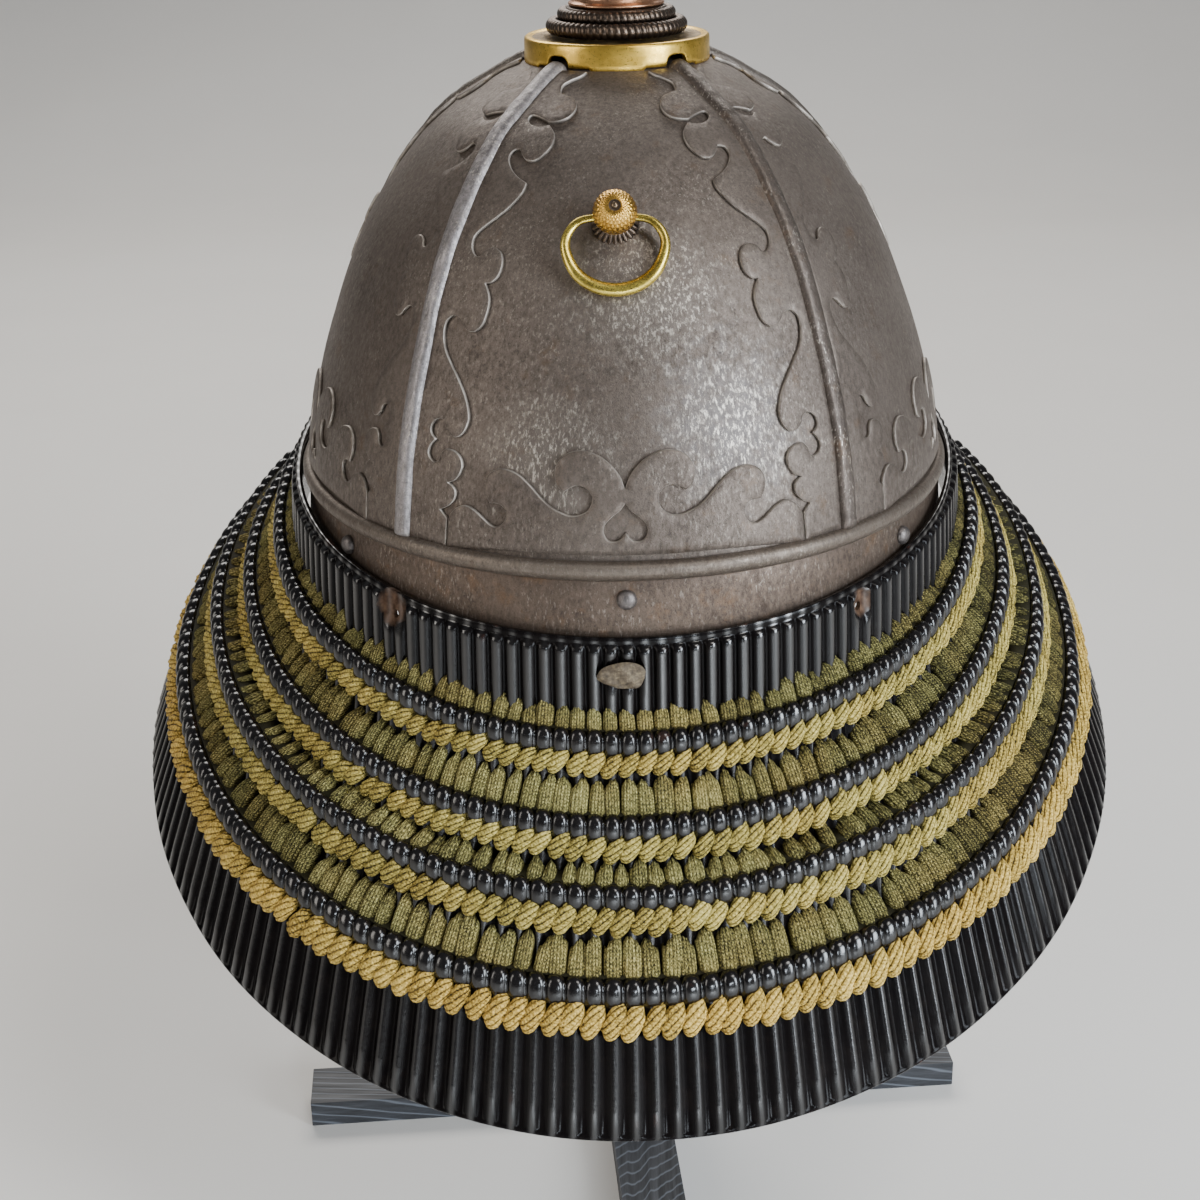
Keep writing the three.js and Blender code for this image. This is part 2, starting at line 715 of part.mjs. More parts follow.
const lap = BAR_HEIGHT / 2;
const across = placedBox(BAR_LENGTH, BAR_WIDTH, BAR_HEIGHT, 0, 0, BAR_HEIGHT / 2);
const acrossLap = placedBox(BAR_WIDTH + 2 * GAP, BAR_WIDTH + 2, lap + GAP, 0, 0, BAR_HEIGHT - (lap - GAP) / 2);
const along = placedBox(BAR_WIDTH, BAR_LENGTH, BAR_HEIGHT, 0, 0, BAR_HEIGHT / 2);
const alongLap = placedBox(BAR_WIDTH + 2, BAR_WIDTH + 2 * GAP, lap + GAP, 0, 0, (lap - GAP) / 2);
const barAcross = addPiece('stand_bar_across', cut(across, [acrossLap]), 'wood');
const barAlong = addPiece('stand_bar_along', cut(along, [alongLap]), 'wood');
barAcross.rotation.z = rad(STAND_TURN);
barAlong.rotation.z = rad(STAND_TURN);

const postTop = WAIST_Z + PAD_LOW_Z - GAP;
const postLow = BAR_HEIGHT + GAP;
const post = addPiece('stand_post', new THREE.BoxGeometry(POST_WIDTH, POST_WIDTH, postTop - postLow), 'wood');
post.position.set(0, 0, (postTop + postLow) / 2);
post.rotation.z = rad(STAND_TURN);

const padProfile = [
  [0, PAD_LOW_Z],
  [33, PAD_LOW_Z],
  [36, 109],
  [34.5, 115.5],
  [22, 122.6],
  [0, 125.6],
];
const pad = turned(padProfile, 16);
pad.translate(0, 0, WAIST_Z);
addPiece('stand_pad', pad, 'wood');

export default helmet;
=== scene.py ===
"""Kabuto: an iron samurai helmet with a laced neck guard, on a wooden stand.

Shapes are worked out in millimetres in the frame's own axes (+Y the wearer's forward, +X the
wearer's right, angle 0 the back and 90 the wearer's right) and become metres as meshes.
"""
import json
import math

import bpy
import numpy as np
from mathutils import Matrix, Vector
from mathutils.geometry import delaunay_2d_cdt


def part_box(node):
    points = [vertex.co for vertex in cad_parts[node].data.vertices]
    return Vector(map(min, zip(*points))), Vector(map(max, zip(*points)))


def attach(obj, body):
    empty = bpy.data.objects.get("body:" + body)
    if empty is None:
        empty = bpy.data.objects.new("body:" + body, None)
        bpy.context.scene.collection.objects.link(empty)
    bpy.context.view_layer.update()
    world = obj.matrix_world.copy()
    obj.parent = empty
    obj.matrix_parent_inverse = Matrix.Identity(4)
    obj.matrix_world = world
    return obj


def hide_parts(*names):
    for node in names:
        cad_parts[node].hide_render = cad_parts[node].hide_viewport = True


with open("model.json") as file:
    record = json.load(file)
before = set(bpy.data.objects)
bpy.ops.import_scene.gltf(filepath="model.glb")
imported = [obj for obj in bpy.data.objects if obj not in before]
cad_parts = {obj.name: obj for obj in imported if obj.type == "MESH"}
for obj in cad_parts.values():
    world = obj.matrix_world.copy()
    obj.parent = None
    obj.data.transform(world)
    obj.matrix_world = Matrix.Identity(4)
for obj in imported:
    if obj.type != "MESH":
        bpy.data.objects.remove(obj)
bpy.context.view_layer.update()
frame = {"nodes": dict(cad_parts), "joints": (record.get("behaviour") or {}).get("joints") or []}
MM = 0.001
rng = np.random.default_rng(7)


# ---- sizes
def frame_box(node):
    """Lowest and highest corner of a CAD node in millimetres."""
    low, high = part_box(node)
    return np.array(low) / MM, np.array(high) / MM


BEAD_HIGH = frame_box("waist_bead")[1]
BEAD_RISE = 4.0                       # the bead's top edge stands this far over the waist
WAIST_Z = BEAD_HIGH[2] - BEAD_RISE
PLATE_HIGH = frame_box("crown_plate")[1]
PLATE_RADIUS = PLATE_HIGH[0]
PLATE_TOP = PLATE_HIGH[2]
CROWN_HOLE_RADIUS = 9.0

BOWL_HALF_WIDTH = 104.0
BOWL_WALL = 2.4
DEPTH_STRETCH = 0.126                 # how much deeper than wide the bowl is at the waist
ROUND_BELOW = 20.0                    # the bowl is round where its half width is less than this
RIB_WIDTH = 7.0
RIB_HEIGHT = 3.0
RIB_LOW_Z, RIB_HIGH_Z = 1.2, 125.8                # heights over the waist, here and below
FRAME_THICK = 1.2
FRAME_LOW_Z, FRAME_HIGH_Z = 1.6, 125.2
FRAME_UNDER_RIB = 1.6                 # how far from a rib's axis a plate's edge lies
BAND_LOW_Z, BAND_HIGH_Z = -20.5, -3.4

# Outline of the bowl from the waist to the crown hole: half width, height over the waist.
BOWL_SECTIONS = np.array([
    (104.3, -3.2), (100.2, 25), (92.8, 50), (82.5, 75), (72.0, 92),
    (57.0, 109), (40.0, 120), (28.5, 125.8), (19.0, 128.6), (CROWN_HOLE_RADIUS, 130.0),
])
RIB_ANGLES = {"rib_back_left": -39, "rib_back_right": 39, "rib_side_left": -107,
              "rib_side_right": 107, "rib_front": 180}
FRAME_SPANS = {"frame_back": (-39, 39), "frame_side_right": (39, 107),
               "frame_front_right": (107, 180), "frame_front_left": (180, 253),
               "frame_side_left": (253, 321)}

# Lames: (reach at the back, height, rise for each mm forward) of the top and the low edge,
# the angle at which the lame ends, and the angle that one scale takes.
LAMES = [
    dict(top=(121.7, -19.5, 0.17), low=(123.4, -53.0, 0.245), ends=126, pitch=2.53),
    dict(top=(128.0, -45.5, 0.245), low=(133.5, -76.0, 0.26), ends=117, pitch=2.45),
    dict(top=(139.0, -67.0, 0.26), low=(145.0, -92.0, 0.27), ends=117, pitch=2.30),
    dict(top=(151.0, -83.0, 0.27), low=(158.0, -116.0, 0.285), ends=117, pitch=2.20),
    dict(top=(163.5, -106.0, 0.285), low=(178.0, -151.2, 0.32), ends=117, pitch=2.09),
]
LAME_THICK = 1.6
LAME_DEPTH_EXTRA = 12.7               # how much farther a lame reaches at the back than sideways
BARE_SPOTS = [(-39.5, -25.0, 6.2), (39.5, -26.0, 4.6)]     # angle, height, size of torn lacquer
LACING_HOLES = [(-39, -27.0), (39, -27.0)]                  # angle, height
TIE_SEAT = (-1.0, -30.0, 7.2, 4.2)                          # angle, height, half sizes in mm


# ---- surfaces
def unit(vectors):
    """The vectors, each made 1 long."""
    return vectors / np.linalg.norm(vectors, axis=-1, keepdims=True)


def run_length(points):
    """The distance along a polyline at each of its points."""
    return np.concatenate([[0], np.cumsum(np.linalg.norm(np.diff(points, axis=0), axis=1))])


def circle(count):
    """Angles in radians that share out a full turn."""
    return np.linspace(0, 2 * math.pi, count, endpoint=False)


def catmull_rom(points, samples, closed=False):
    """A uniform Catmull-Rom curve through points, samples to a span."""
    points = np.asarray(points, float)
    before, after = (points[-1:], points[:2]) if closed else (points[:1], points[-1:])
    padded = np.vstack([before, points, after])
    t = (np.arange(samples) / samples)[:, None]
    spans = [0.5 * (2 * b + (c - a) * t + (2 * a - 5 * b + 4 * c - d) * t ** 2
                    + (3 * b - a - 3 * c + d) * t ** 3)
             for a, b, c, d in zip(padded, padded[1:], padded[2:], padded[3:])]
    return np.vstack(spans if closed else spans + [points[-1:]])


OUTLINE = catmull_rom(BOWL_SECTIONS, 200)
OUTLINE_LENGTH = run_length(OUTLINE)
DOME_LENGTH = OUTLINE_LENGTH[-1]
OUTLINE_SHARE = OUTLINE_LENGTH / DOME_LENGTH
OUTLINE_SLOPE = unit(np.gradient(OUTLINE, axis=0))


def half_depth(half_width):
    """The bowl's half depth where it has this half width."""
    share = np.clip((half_width - ROUND_BELOW) / (BOWL_HALF_WIDTH - ROUND_BELOW), 0, 1)
    return half_width * (1 + DEPTH_STRETCH * share)


def turned(radius, z, turn):
    """Points at a radius and a frame height, turned about Z by radians from the back."""
    return np.stack(np.broadcast_arrays(radius * np.sin(turn), -radius * np.cos(turn), z), -1)


def oval(angle, half_width, z):
    """A point on the bowl's level section of this half width, z over the waist."""
    turn = np.radians(angle)
    return np.stack(np.broadcast_arrays(
        half_width * np.sin(turn), -half_depth(half_width) * np.cos(turn), z + WAIST_Z), -1)


def outline_at(share, offset=0.0):
    """Half width and height over the waist at a share of the bowl's outline, moved out by offset."""
    x, z = (np.interp(share, OUTLINE_SHARE, OUTLINE[:, i]) for i in (0, 1))
    dx, dz = (np.interp(share, OUTLINE_SHARE, OUTLINE_SLOPE[:, i]) for i in (0, 1))
    return x + dz * offset, z - dx * offset


def bowl(angle, share, offset=0.0):
    """A point on the bowl's plain face, at a share of its outline, moved out by offset."""
    half_width, z = outline_at(share, offset)
    return oval(angle, half_width, z)


def share_at(z):
    """The share of the outline that lies z over the waist."""
    return np.interp(z, OUTLINE[:, 1], OUTLINE_SHARE)


def lame_line(lame, z):
    """A lame's reach at the back and its rise for each mm forward, at a height for the back."""
    share = (lame["top"][1] - z) / (lame["top"][1] - lame["low"][1])
    reach, rise = (lame["top"][i] + (lame["low"][i] - lame["top"][i]) * share for i in (0, 2))
    return reach, rise


def on_lame(lame, angle, z, offset=0.0):
    """A point on a lame's face, at a height given for the back, moved out by offset."""
    reach, rise = lame_line(lame, z)
    turn = np.radians(angle)
    return np.stack(np.broadcast_arrays(
        (reach - LAME_DEPTH_EXTRA + offset) * np.sin(turn),
        -(reach + offset) * np.cos(turn),
        WAIST_Z + z + rise * reach * (1 - np.cos(turn))), -1)


WAVE_KINDS, WAVE_COUNT = 3, 14
WAVE_PEAK = 3.8                       # how high the sum of a kind's waves rises
WAVES = unit(rng.normal(size=(WAVE_KINDS, WAVE_COUNT, 3)))
PHASES = rng.uniform(0, 2 * math.pi, size=(WAVE_KINDS, WAVE_COUNT))


def ripple(points, length, kind=0):
    """Smooth noise from -1 to 1 or so, with bumps about length mm apart."""
    waves = WAVES[kind] * (2 * math.pi / length)
    return np.sin(points @ waves.T + PHASES[kind]).sum(-1) / WAVE_PEAK


# ---- meshes
def add_object(name, data):
    thing = bpy.data.objects.new(name, data)
    bpy.context.scene.collection.objects.link(thing)
    return thing


def make_mesh(name, points, faces, smooth=True):
    """A mesh from points in millimetres."""
    mesh = bpy.data.meshes.new(name)
    mesh.from_pydata((np.asarray(points, float).reshape(-1, 3) * MM).tolist(), [],
                     [tuple(int(i) for i in face) for face in faces])
    mesh.validate()
    mesh.update()
    mesh.polygons.foreach_set("use_smooth", [smooth] * len(mesh.polygons))
    return mesh


def add_piece(name, points, faces, look, replaces=(), uv=None, body="helmet", tones=None):
    """One piece of the helmet. uv has one pair for each point, tones one number."""
    mesh = make_mesh(name, points, faces)
    if uv is not None:
        layer = mesh.uv_layers.new(name="UVMap")
        corners = np.empty(len(mesh.loops), dtype=np.int32)
        mesh.loops.foreach_get("vertex_index", corners)
        layer.data.foreach_set("uv", np.asarray(uv, float)[corners].ravel())
    if tones is not None:
        mesh.attributes.new("tone", "FLOAT", "POINT").data.foreach_set("value", tones)
    piece = add_object(name, mesh)
    mesh.materials.append(look.material)
    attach(piece, body)
    if replaces:
        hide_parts(*replaces)
    return piece


def skin_faces(loops, count, closed=False, capped=True):
    """Quads over loops of count points each. Open ends are closed by strips across the loop."""
    faces = []
    for i in range(loops if closed else loops - 1):
        here, there = i * count, (i + 1) % loops * count
        for j in range(count):
            k = (j + 1) % count
            faces.append((here + j, here + k, there + k, there + j))
    if not closed and capped:
        for base, order in ((0, 1), ((loops - 1) * count, -1)):
            for j in range((count - 1) // 2):
                far = count - 1 - j
                face = [base + j, base + far, base + far - 1, base + j + 1]
                if far - 1 == j + 1:
                    face = face[:3]
                faces.append(tuple(face[::order]))
    return faces


def outward(points, faces):
    """The faces, all turned over if the volume that they hold comes out negative."""
    corners = np.array([(face[0], b, c) for face in faces for b, c in zip(face[1:], face[2:])])
    a, b, c = (points[corners[:, i]] for i in range(3))
    volume = np.einsum("ij,ij->", a, np.cross(b, c))
    return faces if volume > 0 else [tuple(reversed(face)) for face in faces]


def skin(points, closed=False):
    """Faces for an array of loops, wound so that they face out."""
    return outward(points.reshape(-1, 3), skin_faces(*points.shape[:2], closed))


def flat_ended(loops, start=0):
    """Faces for loops whose points are numbered from start, with both ends closed flat."""
    count = loops.shape[1]
    flat = loops.reshape(-1, 3)
    faces = skin_faces(len(loops), count, capped=False)
    faces += [tuple(range(count))[::-1], tuple(range((len(loops) - 1) * count, len(loops) * count))]
    return [tuple(i + start for i in face) for face in outward(flat - flat.mean(0), faces)]


class Bundle:
    """Many flat-ended shapes that make one piece: their points, faces, UVs and tones."""

    def __init__(self):
        self.points, self.faces, self.uv, self.tones = [], [], [], []

    def add(self, loops, uv=(), tones=()):
        loops = np.array(loops)
        self.faces += flat_ended(loops, len(self.points))
        self.points += loops.reshape(-1, 3).tolist()
        self.uv += uv
        self.tones += tones

    def build(self, name, look, replaces):
        add_piece(name, self.points, self.faces, look, replaces, uv=self.uv or None,
                  tones=self.tones or None)


def across(out):
    """The level and the upright unit vector at right angles to an outward one."""
    side = unit(np.cross(out, (0, 0, 1.0)))
    return side, np.cross(side, out)


def ellipse(centre, side, up, wide, high, turn):
    """Points round a centre, wide along side and high along up."""
    return [centre + side * wide * math.cos(t) + up * high * math.sin(t) for t in turn]


def rounded(corners, radius):
    """A closed outline with its corners rounded by short arcs."""
    corners = np.asarray(corners, float)
    points = []
    for before, corner, after in zip(np.roll(corners, 1, 0), corners, np.roll(corners, -1, 0)):
        back, on = before - corner, after - corner
        r = min(radius, 0.45 * np.linalg.norm(back), 0.45 * np.linalg.norm(on))
        start, end = corner + unit(back) * r, corner + unit(on) * r
        for t in (0, 0.5, 1):
            points.append((1 - t) ** 2 * start + 2 * t * (1 - t) * corner + t * t * end)
    return np.array(points)


def add_lathe(name, profile, look, radius, replaces=()):
    """A closed profile of (radius, height over the waist), its corners rounded, turned about Z."""
    profile = rounded(profile, radius)
    points = turned(profile[:, 0], profile[:, 1] + WAIST_Z, circle(96)[:, None])
    add_piece(name, points, skin(points, closed=True), look, replaces)


# ---- materials
def scaled(colour, by):
    return tuple(v * by for v in colour)


class Look:
    """Builds one node material on the object's own coordinates, in metres."""

    def __init__(self, name):
        self.material = bpy.data.materials.new(name)
        self.material.use_nodes = True
        self.nodes = self.material.node_tree.nodes
        self.links = self.material.node_tree.links
        self.shader = self.nodes["Principled BSDF"]
        self.place = self.nodes.new("ShaderNodeTexCoord").outputs["Object"]

    def feed(self, socket, value):
        if isinstance(value, bpy.types.NodeSocket):
            self.links.new(value, socket)
        elif value is not None:
            socket.default_value = value

    def node(self, kind, **inputs):
        node = self.nodes.new("ShaderNode" + kind)
        for name, value in inputs.items():
            self.feed(node.inputs[name], value)
        return node

    def set(self, **values):
        for name, value in values.items():
            self.feed(self.shader.inputs[name.replace("_", " ")], value)

    def noise(self, size, detail=4.0, roughness=0.55, stretch=(1, 1, 1), seed=0.0):
        """Noise from 0 to 1 with features about size mm across."""
        place = self.node("Mapping", Vector=self.place, Location=(seed, seed * 0.7, seed * 0.3),
                          Scale=stretch).outputs["Vector"]
        return self.node("TexNoise", Vector=place, Scale=1 / (size * MM), Detail=detail,
                         Roughness=roughness).outputs["Fac"]

    def math(self, operation, a, b=0.0):
        node = self.nodes.new("ShaderNodeMath")
        node.operation = operation
        self.feed(node.inputs[0], a)
        self.feed(node.inputs[1], b)
        return node.outputs[0]

    def times(self, a, b):
        return self.math("MULTIPLY", a, b)

    def plus(self, a, b):
        return self.math("ADD", a, b)

    def ramp(self, value, *stops):
        """A colour or grey ramp: (position, colour or number) pairs."""
        node = self.node("ValToRGB", Fac=value)
        band = node.color_ramp
        while len(band.elements) < len(stops):
            band.elements.new(0.5)
        for element, (position, colour) in zip(band.elements, stops):
            if isinstance(colour, (int, float)):
                colour = (colour,) * 3
            element.position = position
            element.color = (*colour, 1)
        return node.outputs["Color"]

    def mix(self, share, a, b, kind="MIX"):
        node = self.nodes.new("ShaderNodeMix")
        node.data_type = "RGBA"
        node.blend_type = kind
        self.feed(node.inputs["Factor"], share)
        for socket, value in ((node.inputs[6], a), (node.inputs[7], b)):
            if isinstance(value, tuple) and len(value) == 3:
                value = (*value, 1)
            self.feed(socket, value)
        return node.outputs[2]

    def over(self, colour, tint, source, *stops):
        """colour with tint laid over it, as much as a ramp over source says."""
        return self.mix(self.ramp(source, *stops), colour, tint)

    def axes(self, source):
        return self.node("SeparateXYZ", Vector=source).outputs

    def mark(self, name):
        """A number that the mesh holds for each point."""
        node = self.nodes.new("ShaderNodeAttribute")
        node.attribute_name = name
        return node.outputs["Fac"]

    def edges(self):
        """Pointiness: over 0.5 on edges that stand out, under it in grooves."""
        return self.nodes.new("ShaderNodeNewGeometry").outputs["Pointiness"]

    def near(self, centre, radius, softness=0.3):
        """1 within radius mm of a point in millimetres, 0 outside, with a ragged edge."""
        node = self.nodes.new("ShaderNodeVectorMath")
        node.operation = "DISTANCE"
        self.links.new(self.place, node.inputs[0])
        node.inputs[1].default_value = scaled(centre, MM)
        raggedness = self.math("SUBTRACT", self.noise(3.0), 0.5)
        distance = self.plus(node.outputs["Value"],
                             self.times(raggedness, radius * MM * softness * 2))
        return self.ramp(self.math("DIVIDE", distance, radius * MM), (1 - softness, 1.0), (1.0, 0.0))

    def bump(self, height, depth, strength=1.0, under=None):
        """depth is the height in mm that the height value 1 stands for."""
        node = self.node("Bump", Strength=strength, Distance=depth * MM, Height=height,
                         Normal=under)
        self.set(Normal=node.outputs["Normal"])
        return node.outputs["Normal"]


IRON_DARK = (0.058, 0.044, 0.036)
IRON_LIGHT = (0.122, 0.099, 0.083)
IRON_RUST = (0.115, 0.070, 0.040)
BARE_IRON_GLINT = (0.62, 0.56, 0.48)


def iron_look(name, dark, light, rust_low, shine, glint=0.35, rust=IRON_RUST, rubs=()):
    """Old russet iron: a brown skin, rust mottling and an upright grain. Bright flecks of bare metal
    are painted glints; rubs are worn patches with painted sheen.
    """
    look = Look(name)
    broad = look.noise(30, detail=6, roughness=0.6)
    grain = look.noise(1.5, detail=6, roughness=0.75, stretch=(1, 1, 0.55))
    pits = look.noise(0.55, detail=3, roughness=0.8, seed=3)
    flecks = look.noise(0.75, detail=3, roughness=0.7, stretch=(1, 1, 0.35), seed=17)
    worn = look.noise(24, detail=5, roughness=0.62, seed=23)
    spots = look.noise(9, detail=7, roughness=0.7, seed=11)
    colour = look.ramp(broad, (0.30, dark), (0.72, light))
    colour = look.over(colour, scaled(light, 1.6), grain, (0.36, 0.0), (0.72, 0.8))
    colour = look.over(colour, rust, spots, (rust_low, 0.0), (rust_low + 0.2, 0.8))
    colour = look.over(colour, scaled(dark, 0.3), pits, (0.28, 0.75), (0.46, 0.0))
    # Painted glints: bright bare-metal flecks, gathered in patches and scaled by glint.
    bright = look.times(look.ramp(flecks, (0.56, 0.0), (0.68, 1.0)),
                        look.ramp(worn, (0.42, 0.12), (0.66, 1.0)))
    bright = look.times(bright, glint)
    # Each rub lightens a worn patch and strews upright flecks in it: painted sheen and glints over worn
    # metal.
    for centre, radius, tint in rubs:
        near = look.near(centre, radius, 0.85)
        colour = look.mix(look.times(near, 0.45), colour, tint)
        upright = look.noise(0.9, detail=4, roughness=0.75, stretch=(1, 1, 0.22), seed=37)
        upright = look.ramp(upright, (0.52, 0.0), (0.62, 0.8))
        bright = look.math("MAXIMUM", bright, look.times(near, upright))
    rough = look.ramp(grain, (0.3, shine + 0.15), (0.72, shine - 0.08))
    look.set(Base_Color=look.mix(bright, colour, BARE_IRON_GLINT), Metallic=0.70,
             Roughness=look.mix(bright, rough, (0.3, 0.3, 0.3)))
    under = look.bump(broad, 0.5, 0.35)
    look.bump(look.plus(grain, look.times(pits, 0.6)), 0.16, 0.8, under)
    return look


def lighten_edges(look, bright, edges, low, high, patch_size, patch_low):
    """Mixes a brighter metal in, in patches, where edges rises from low to high."""
    base = look.shader.inputs["Base Color"].links[0].from_socket
    patches = look.ramp(look.noise(patch_size, seed=5), (0.35, patch_low), (0.6, 1.0))
    look.set(Base_Color=look.mix(look.times(look.ramp(edges, low, high), patches), base, bright))


# Worn patches on the bowl that also carry painted sheen, one of them bluish grey.
WORN_SHEEN_PATCHES = [(5, 73.0, 25.0, (0.17, 0.148, 0.13)), (19, 38.0, 27.0, (0.165, 0.16, 0.165)),
        (-12, 30.0, 22.0, (0.15, 0.13, 0.115))]        # angle, height, radius, colour
bowl_iron = iron_look("bowl_iron", IRON_DARK, IRON_LIGHT, 0.58, 0.50, rubs=[
    (tuple(bowl(angle, share_at(height))), size, tint) for angle, height, size, tint in WORN_SHEEN_PATCHES])
frame_iron = iron_look("frame_iron", IRON_DARK, IRON_LIGHT, 0.58, 0.50)
# The frame plates get a lighter line along every scroll edge: a painted edge highlight, partly rubbed
# wear.
lighten_edges(frame_iron, (0.58, 0.53, 0.47), frame_iron.mark("rubbed"), (0.35, 0.0), (0.95, 0.9), 7, 0.3)
bead_iron = iron_look("bead_iron", (0.07, 0.052, 0.040), (0.125, 0.100, 0.080), 0.60, 0.44)
lighten_edges(bead_iron, (0.30, 0.27, 0.24), bead_iron.edges(), (0.51, 0.0), (0.56, 1.0), 6, 0.25)
rib_iron = iron_look("rib_iron", (0.055, 0.045, 0.038), (0.125, 0.108, 0.094), 0.62, 0.42, 0.7)
# The back ribs are lit and shaded copies of rib iron: the left lighter and silvery, the right darker
# and browner, painted light as well as wear.
rib_irons = {
    "rib_back_left": iron_look("lit_worn_rib_iron", (0.105, 0.093, 0.091), (0.27, 0.25, 0.25),
                               0.62, 0.42, 1.0),
    "rib_back_right": iron_look("shaded_brown_rib_iron", (0.040, 0.030, 0.025), (0.095, 0.076, 0.064),
                                0.56, 0.42, 0.9)}
band_iron = iron_look("band_iron", (0.040, 0.027, 0.020), (0.098, 0.072, 0.055), 0.54, 0.46, 0.3,
                      rust=(0.150, 0.082, 0.040))
rivet_iron = iron_look("rivet_iron", (0.05, 0.042, 0.040), (0.13, 0.115, 0.11), 0.66, 0.36)


def metal_look(name, bright, dull, patina, patina_low, roughness, size=5.0):
    """Cast or beaten metal with spots of patina, darker in its grooves."""
    look = Look(name)
    broad = look.noise(size, detail=6, roughness=0.62)
    fine = look.noise(0.6, detail=3, seed=2)
    spots = look.noise(2.2, detail=6, roughness=0.7, seed=9)
    colour = look.ramp(broad, (0.35, dull), (0.62, bright))
    colour = look.over(colour, patina, spots, (patina_low, 0.0), (patina_low + 0.16, 0.85))
    colour = look.over(colour, scaled(patina, 0.4), look.edges(), (0.42, 1.0), (0.492, 0.0))
    look.set(Base_Color=colour, Metallic=0.95,
             Roughness=look.ramp(fine, (0.3, roughness + 0.1), (0.7, roughness - 0.05)))
    look.bump(look.plus(broad, look.times(fine, 0.3)), 0.12, 0.3)
    return look


brass = metal_look("brass", (0.76, 0.50, 0.095), (0.54, 0.34, 0.055), (0.22, 0.13, 0.05), 0.60, 0.30)
ring_brass = metal_look("ring_brass", (0.74, 0.58, 0.12), (0.40, 0.29, 0.06), (0.16, 0.10, 0.04),
                        0.70, 0.26, 8)
gilt = metal_look("gilt", (0.74, 0.45, 0.10), (0.44, 0.23, 0.045), (0.15, 0.07, 0.02), 0.62, 0.27)
bronze = metal_look("bronze", (0.11, 0.08, 0.06), (0.06, 0.045, 0.035), (0.02, 0.016, 0.013),
                    0.6, 0.34, 3)
copper = metal_look("copper", (0.50, 0.27, 0.16), (0.34, 0.18, 0.10), (0.14, 0.09, 0.05), 0.64, 0.30)
pin_metal = metal_look("pin_metal", (0.30, 0.22, 0.14), (0.16, 0.11, 0.07), (0.05, 0.035, 0.02),
                       0.7, 0.30, 2)


def engraved_brass():
    """The crown plate's top: chased all over and darkened in the lines."""
    look = Look("engraved_brass")
    cells = look.node("TexVoronoi", Vector=look.place, Scale=1 / (1.9 * MM)).outputs["Distance"]
    curls = look.noise(2.4, detail=2, roughness=0.4)
    lines = look.ramp(look.math("FRACT", look.times(curls, 9.0)),
                      (0.0, 0.0), (0.25, 1.0), (0.8, 1.0), (1.0, 0.0))
    relief = look.mix(0.5, look.ramp(cells, (0.1, 1.0), (0.6, 0.0)), lines)
    patina = look.noise(7, detail=6, roughness=0.65, seed=4)
    colour = look.ramp(patina, (0.35, (0.17, 0.125, 0.065)), (0.55, (0.30, 0.205, 0.095)),
                       (0.72, (0.46, 0.31, 0.12)))
    colour = look.over(colour, (0.055, 0.038, 0.022), relief, (0.25, 0.75), (0.6, 0.0))
    look.set(Base_Color=colour, Metallic=0.85, Roughness=look.ramp(patina, (0.3, 0.5), (0.7, 0.34)))
    look.bump(relief, 0.22, 0.9)
    return look


def lacquer_look(name, bare_spots=()):
    """Black urushi over rawhide: deep gloss, dust in patches, rubs and chips on the ridges."""
    look = Look(name)
    broad = look.noise(26, detail=5)
    fine = look.noise(1.1, detail=4, roughness=0.7, seed=6)
    dust = look.noise(5.5, detail=8, roughness=0.75, seed=8)
    rubs = look.noise(11, detail=7, roughness=0.7, seed=14)
    colour = look.ramp(broad, (0.3, (0.0025, 0.002, 0.0022)), (0.75, (0.0055, 0.0044, 0.0044)))
    colour = look.over(colour, (0.015, 0.011, 0.009), dust, (0.52, 0.0), (0.80, 0.5))
    rubbed = look.times(look.ramp(look.edges(), (0.52, 0.0), (0.60, 1.0)),
                        look.ramp(rubs, (0.62, 0.0), (0.70, 1.0)))
    colour = look.mix(rubbed, colour, (0.075, 0.030, 0.020))
    rough = look.ramp(fine, (0.3, 0.13), (0.75, 0.24))
    for centre, radius in bare_spots:
        bare = look.near(centre, radius)
        rawhide = look.ramp(look.noise(2.0, detail=6, seed=21),
                            (0.35, (0.040, 0.022, 0.014)), (0.7, (0.115, 0.070, 0.046)))
        colour = look.mix(bare, colour, rawhide)
        rough = look.mix(bare, rough, (0.85, 0.85, 0.85))
    look.set(Base_Color=colour, Roughness=rough,
             Specular_IOR_Level=look.ramp(look.mark("tone"), (0.0, 0.06), (1.0, 0.95)))
    look.bump(look.plus(broad, look.times(fine, 0.15)), 0.8, 0.3)
    return look


BRAID_PLY = 1.0                       # mm across one plait of a braid
BRAID_PLIES = 6


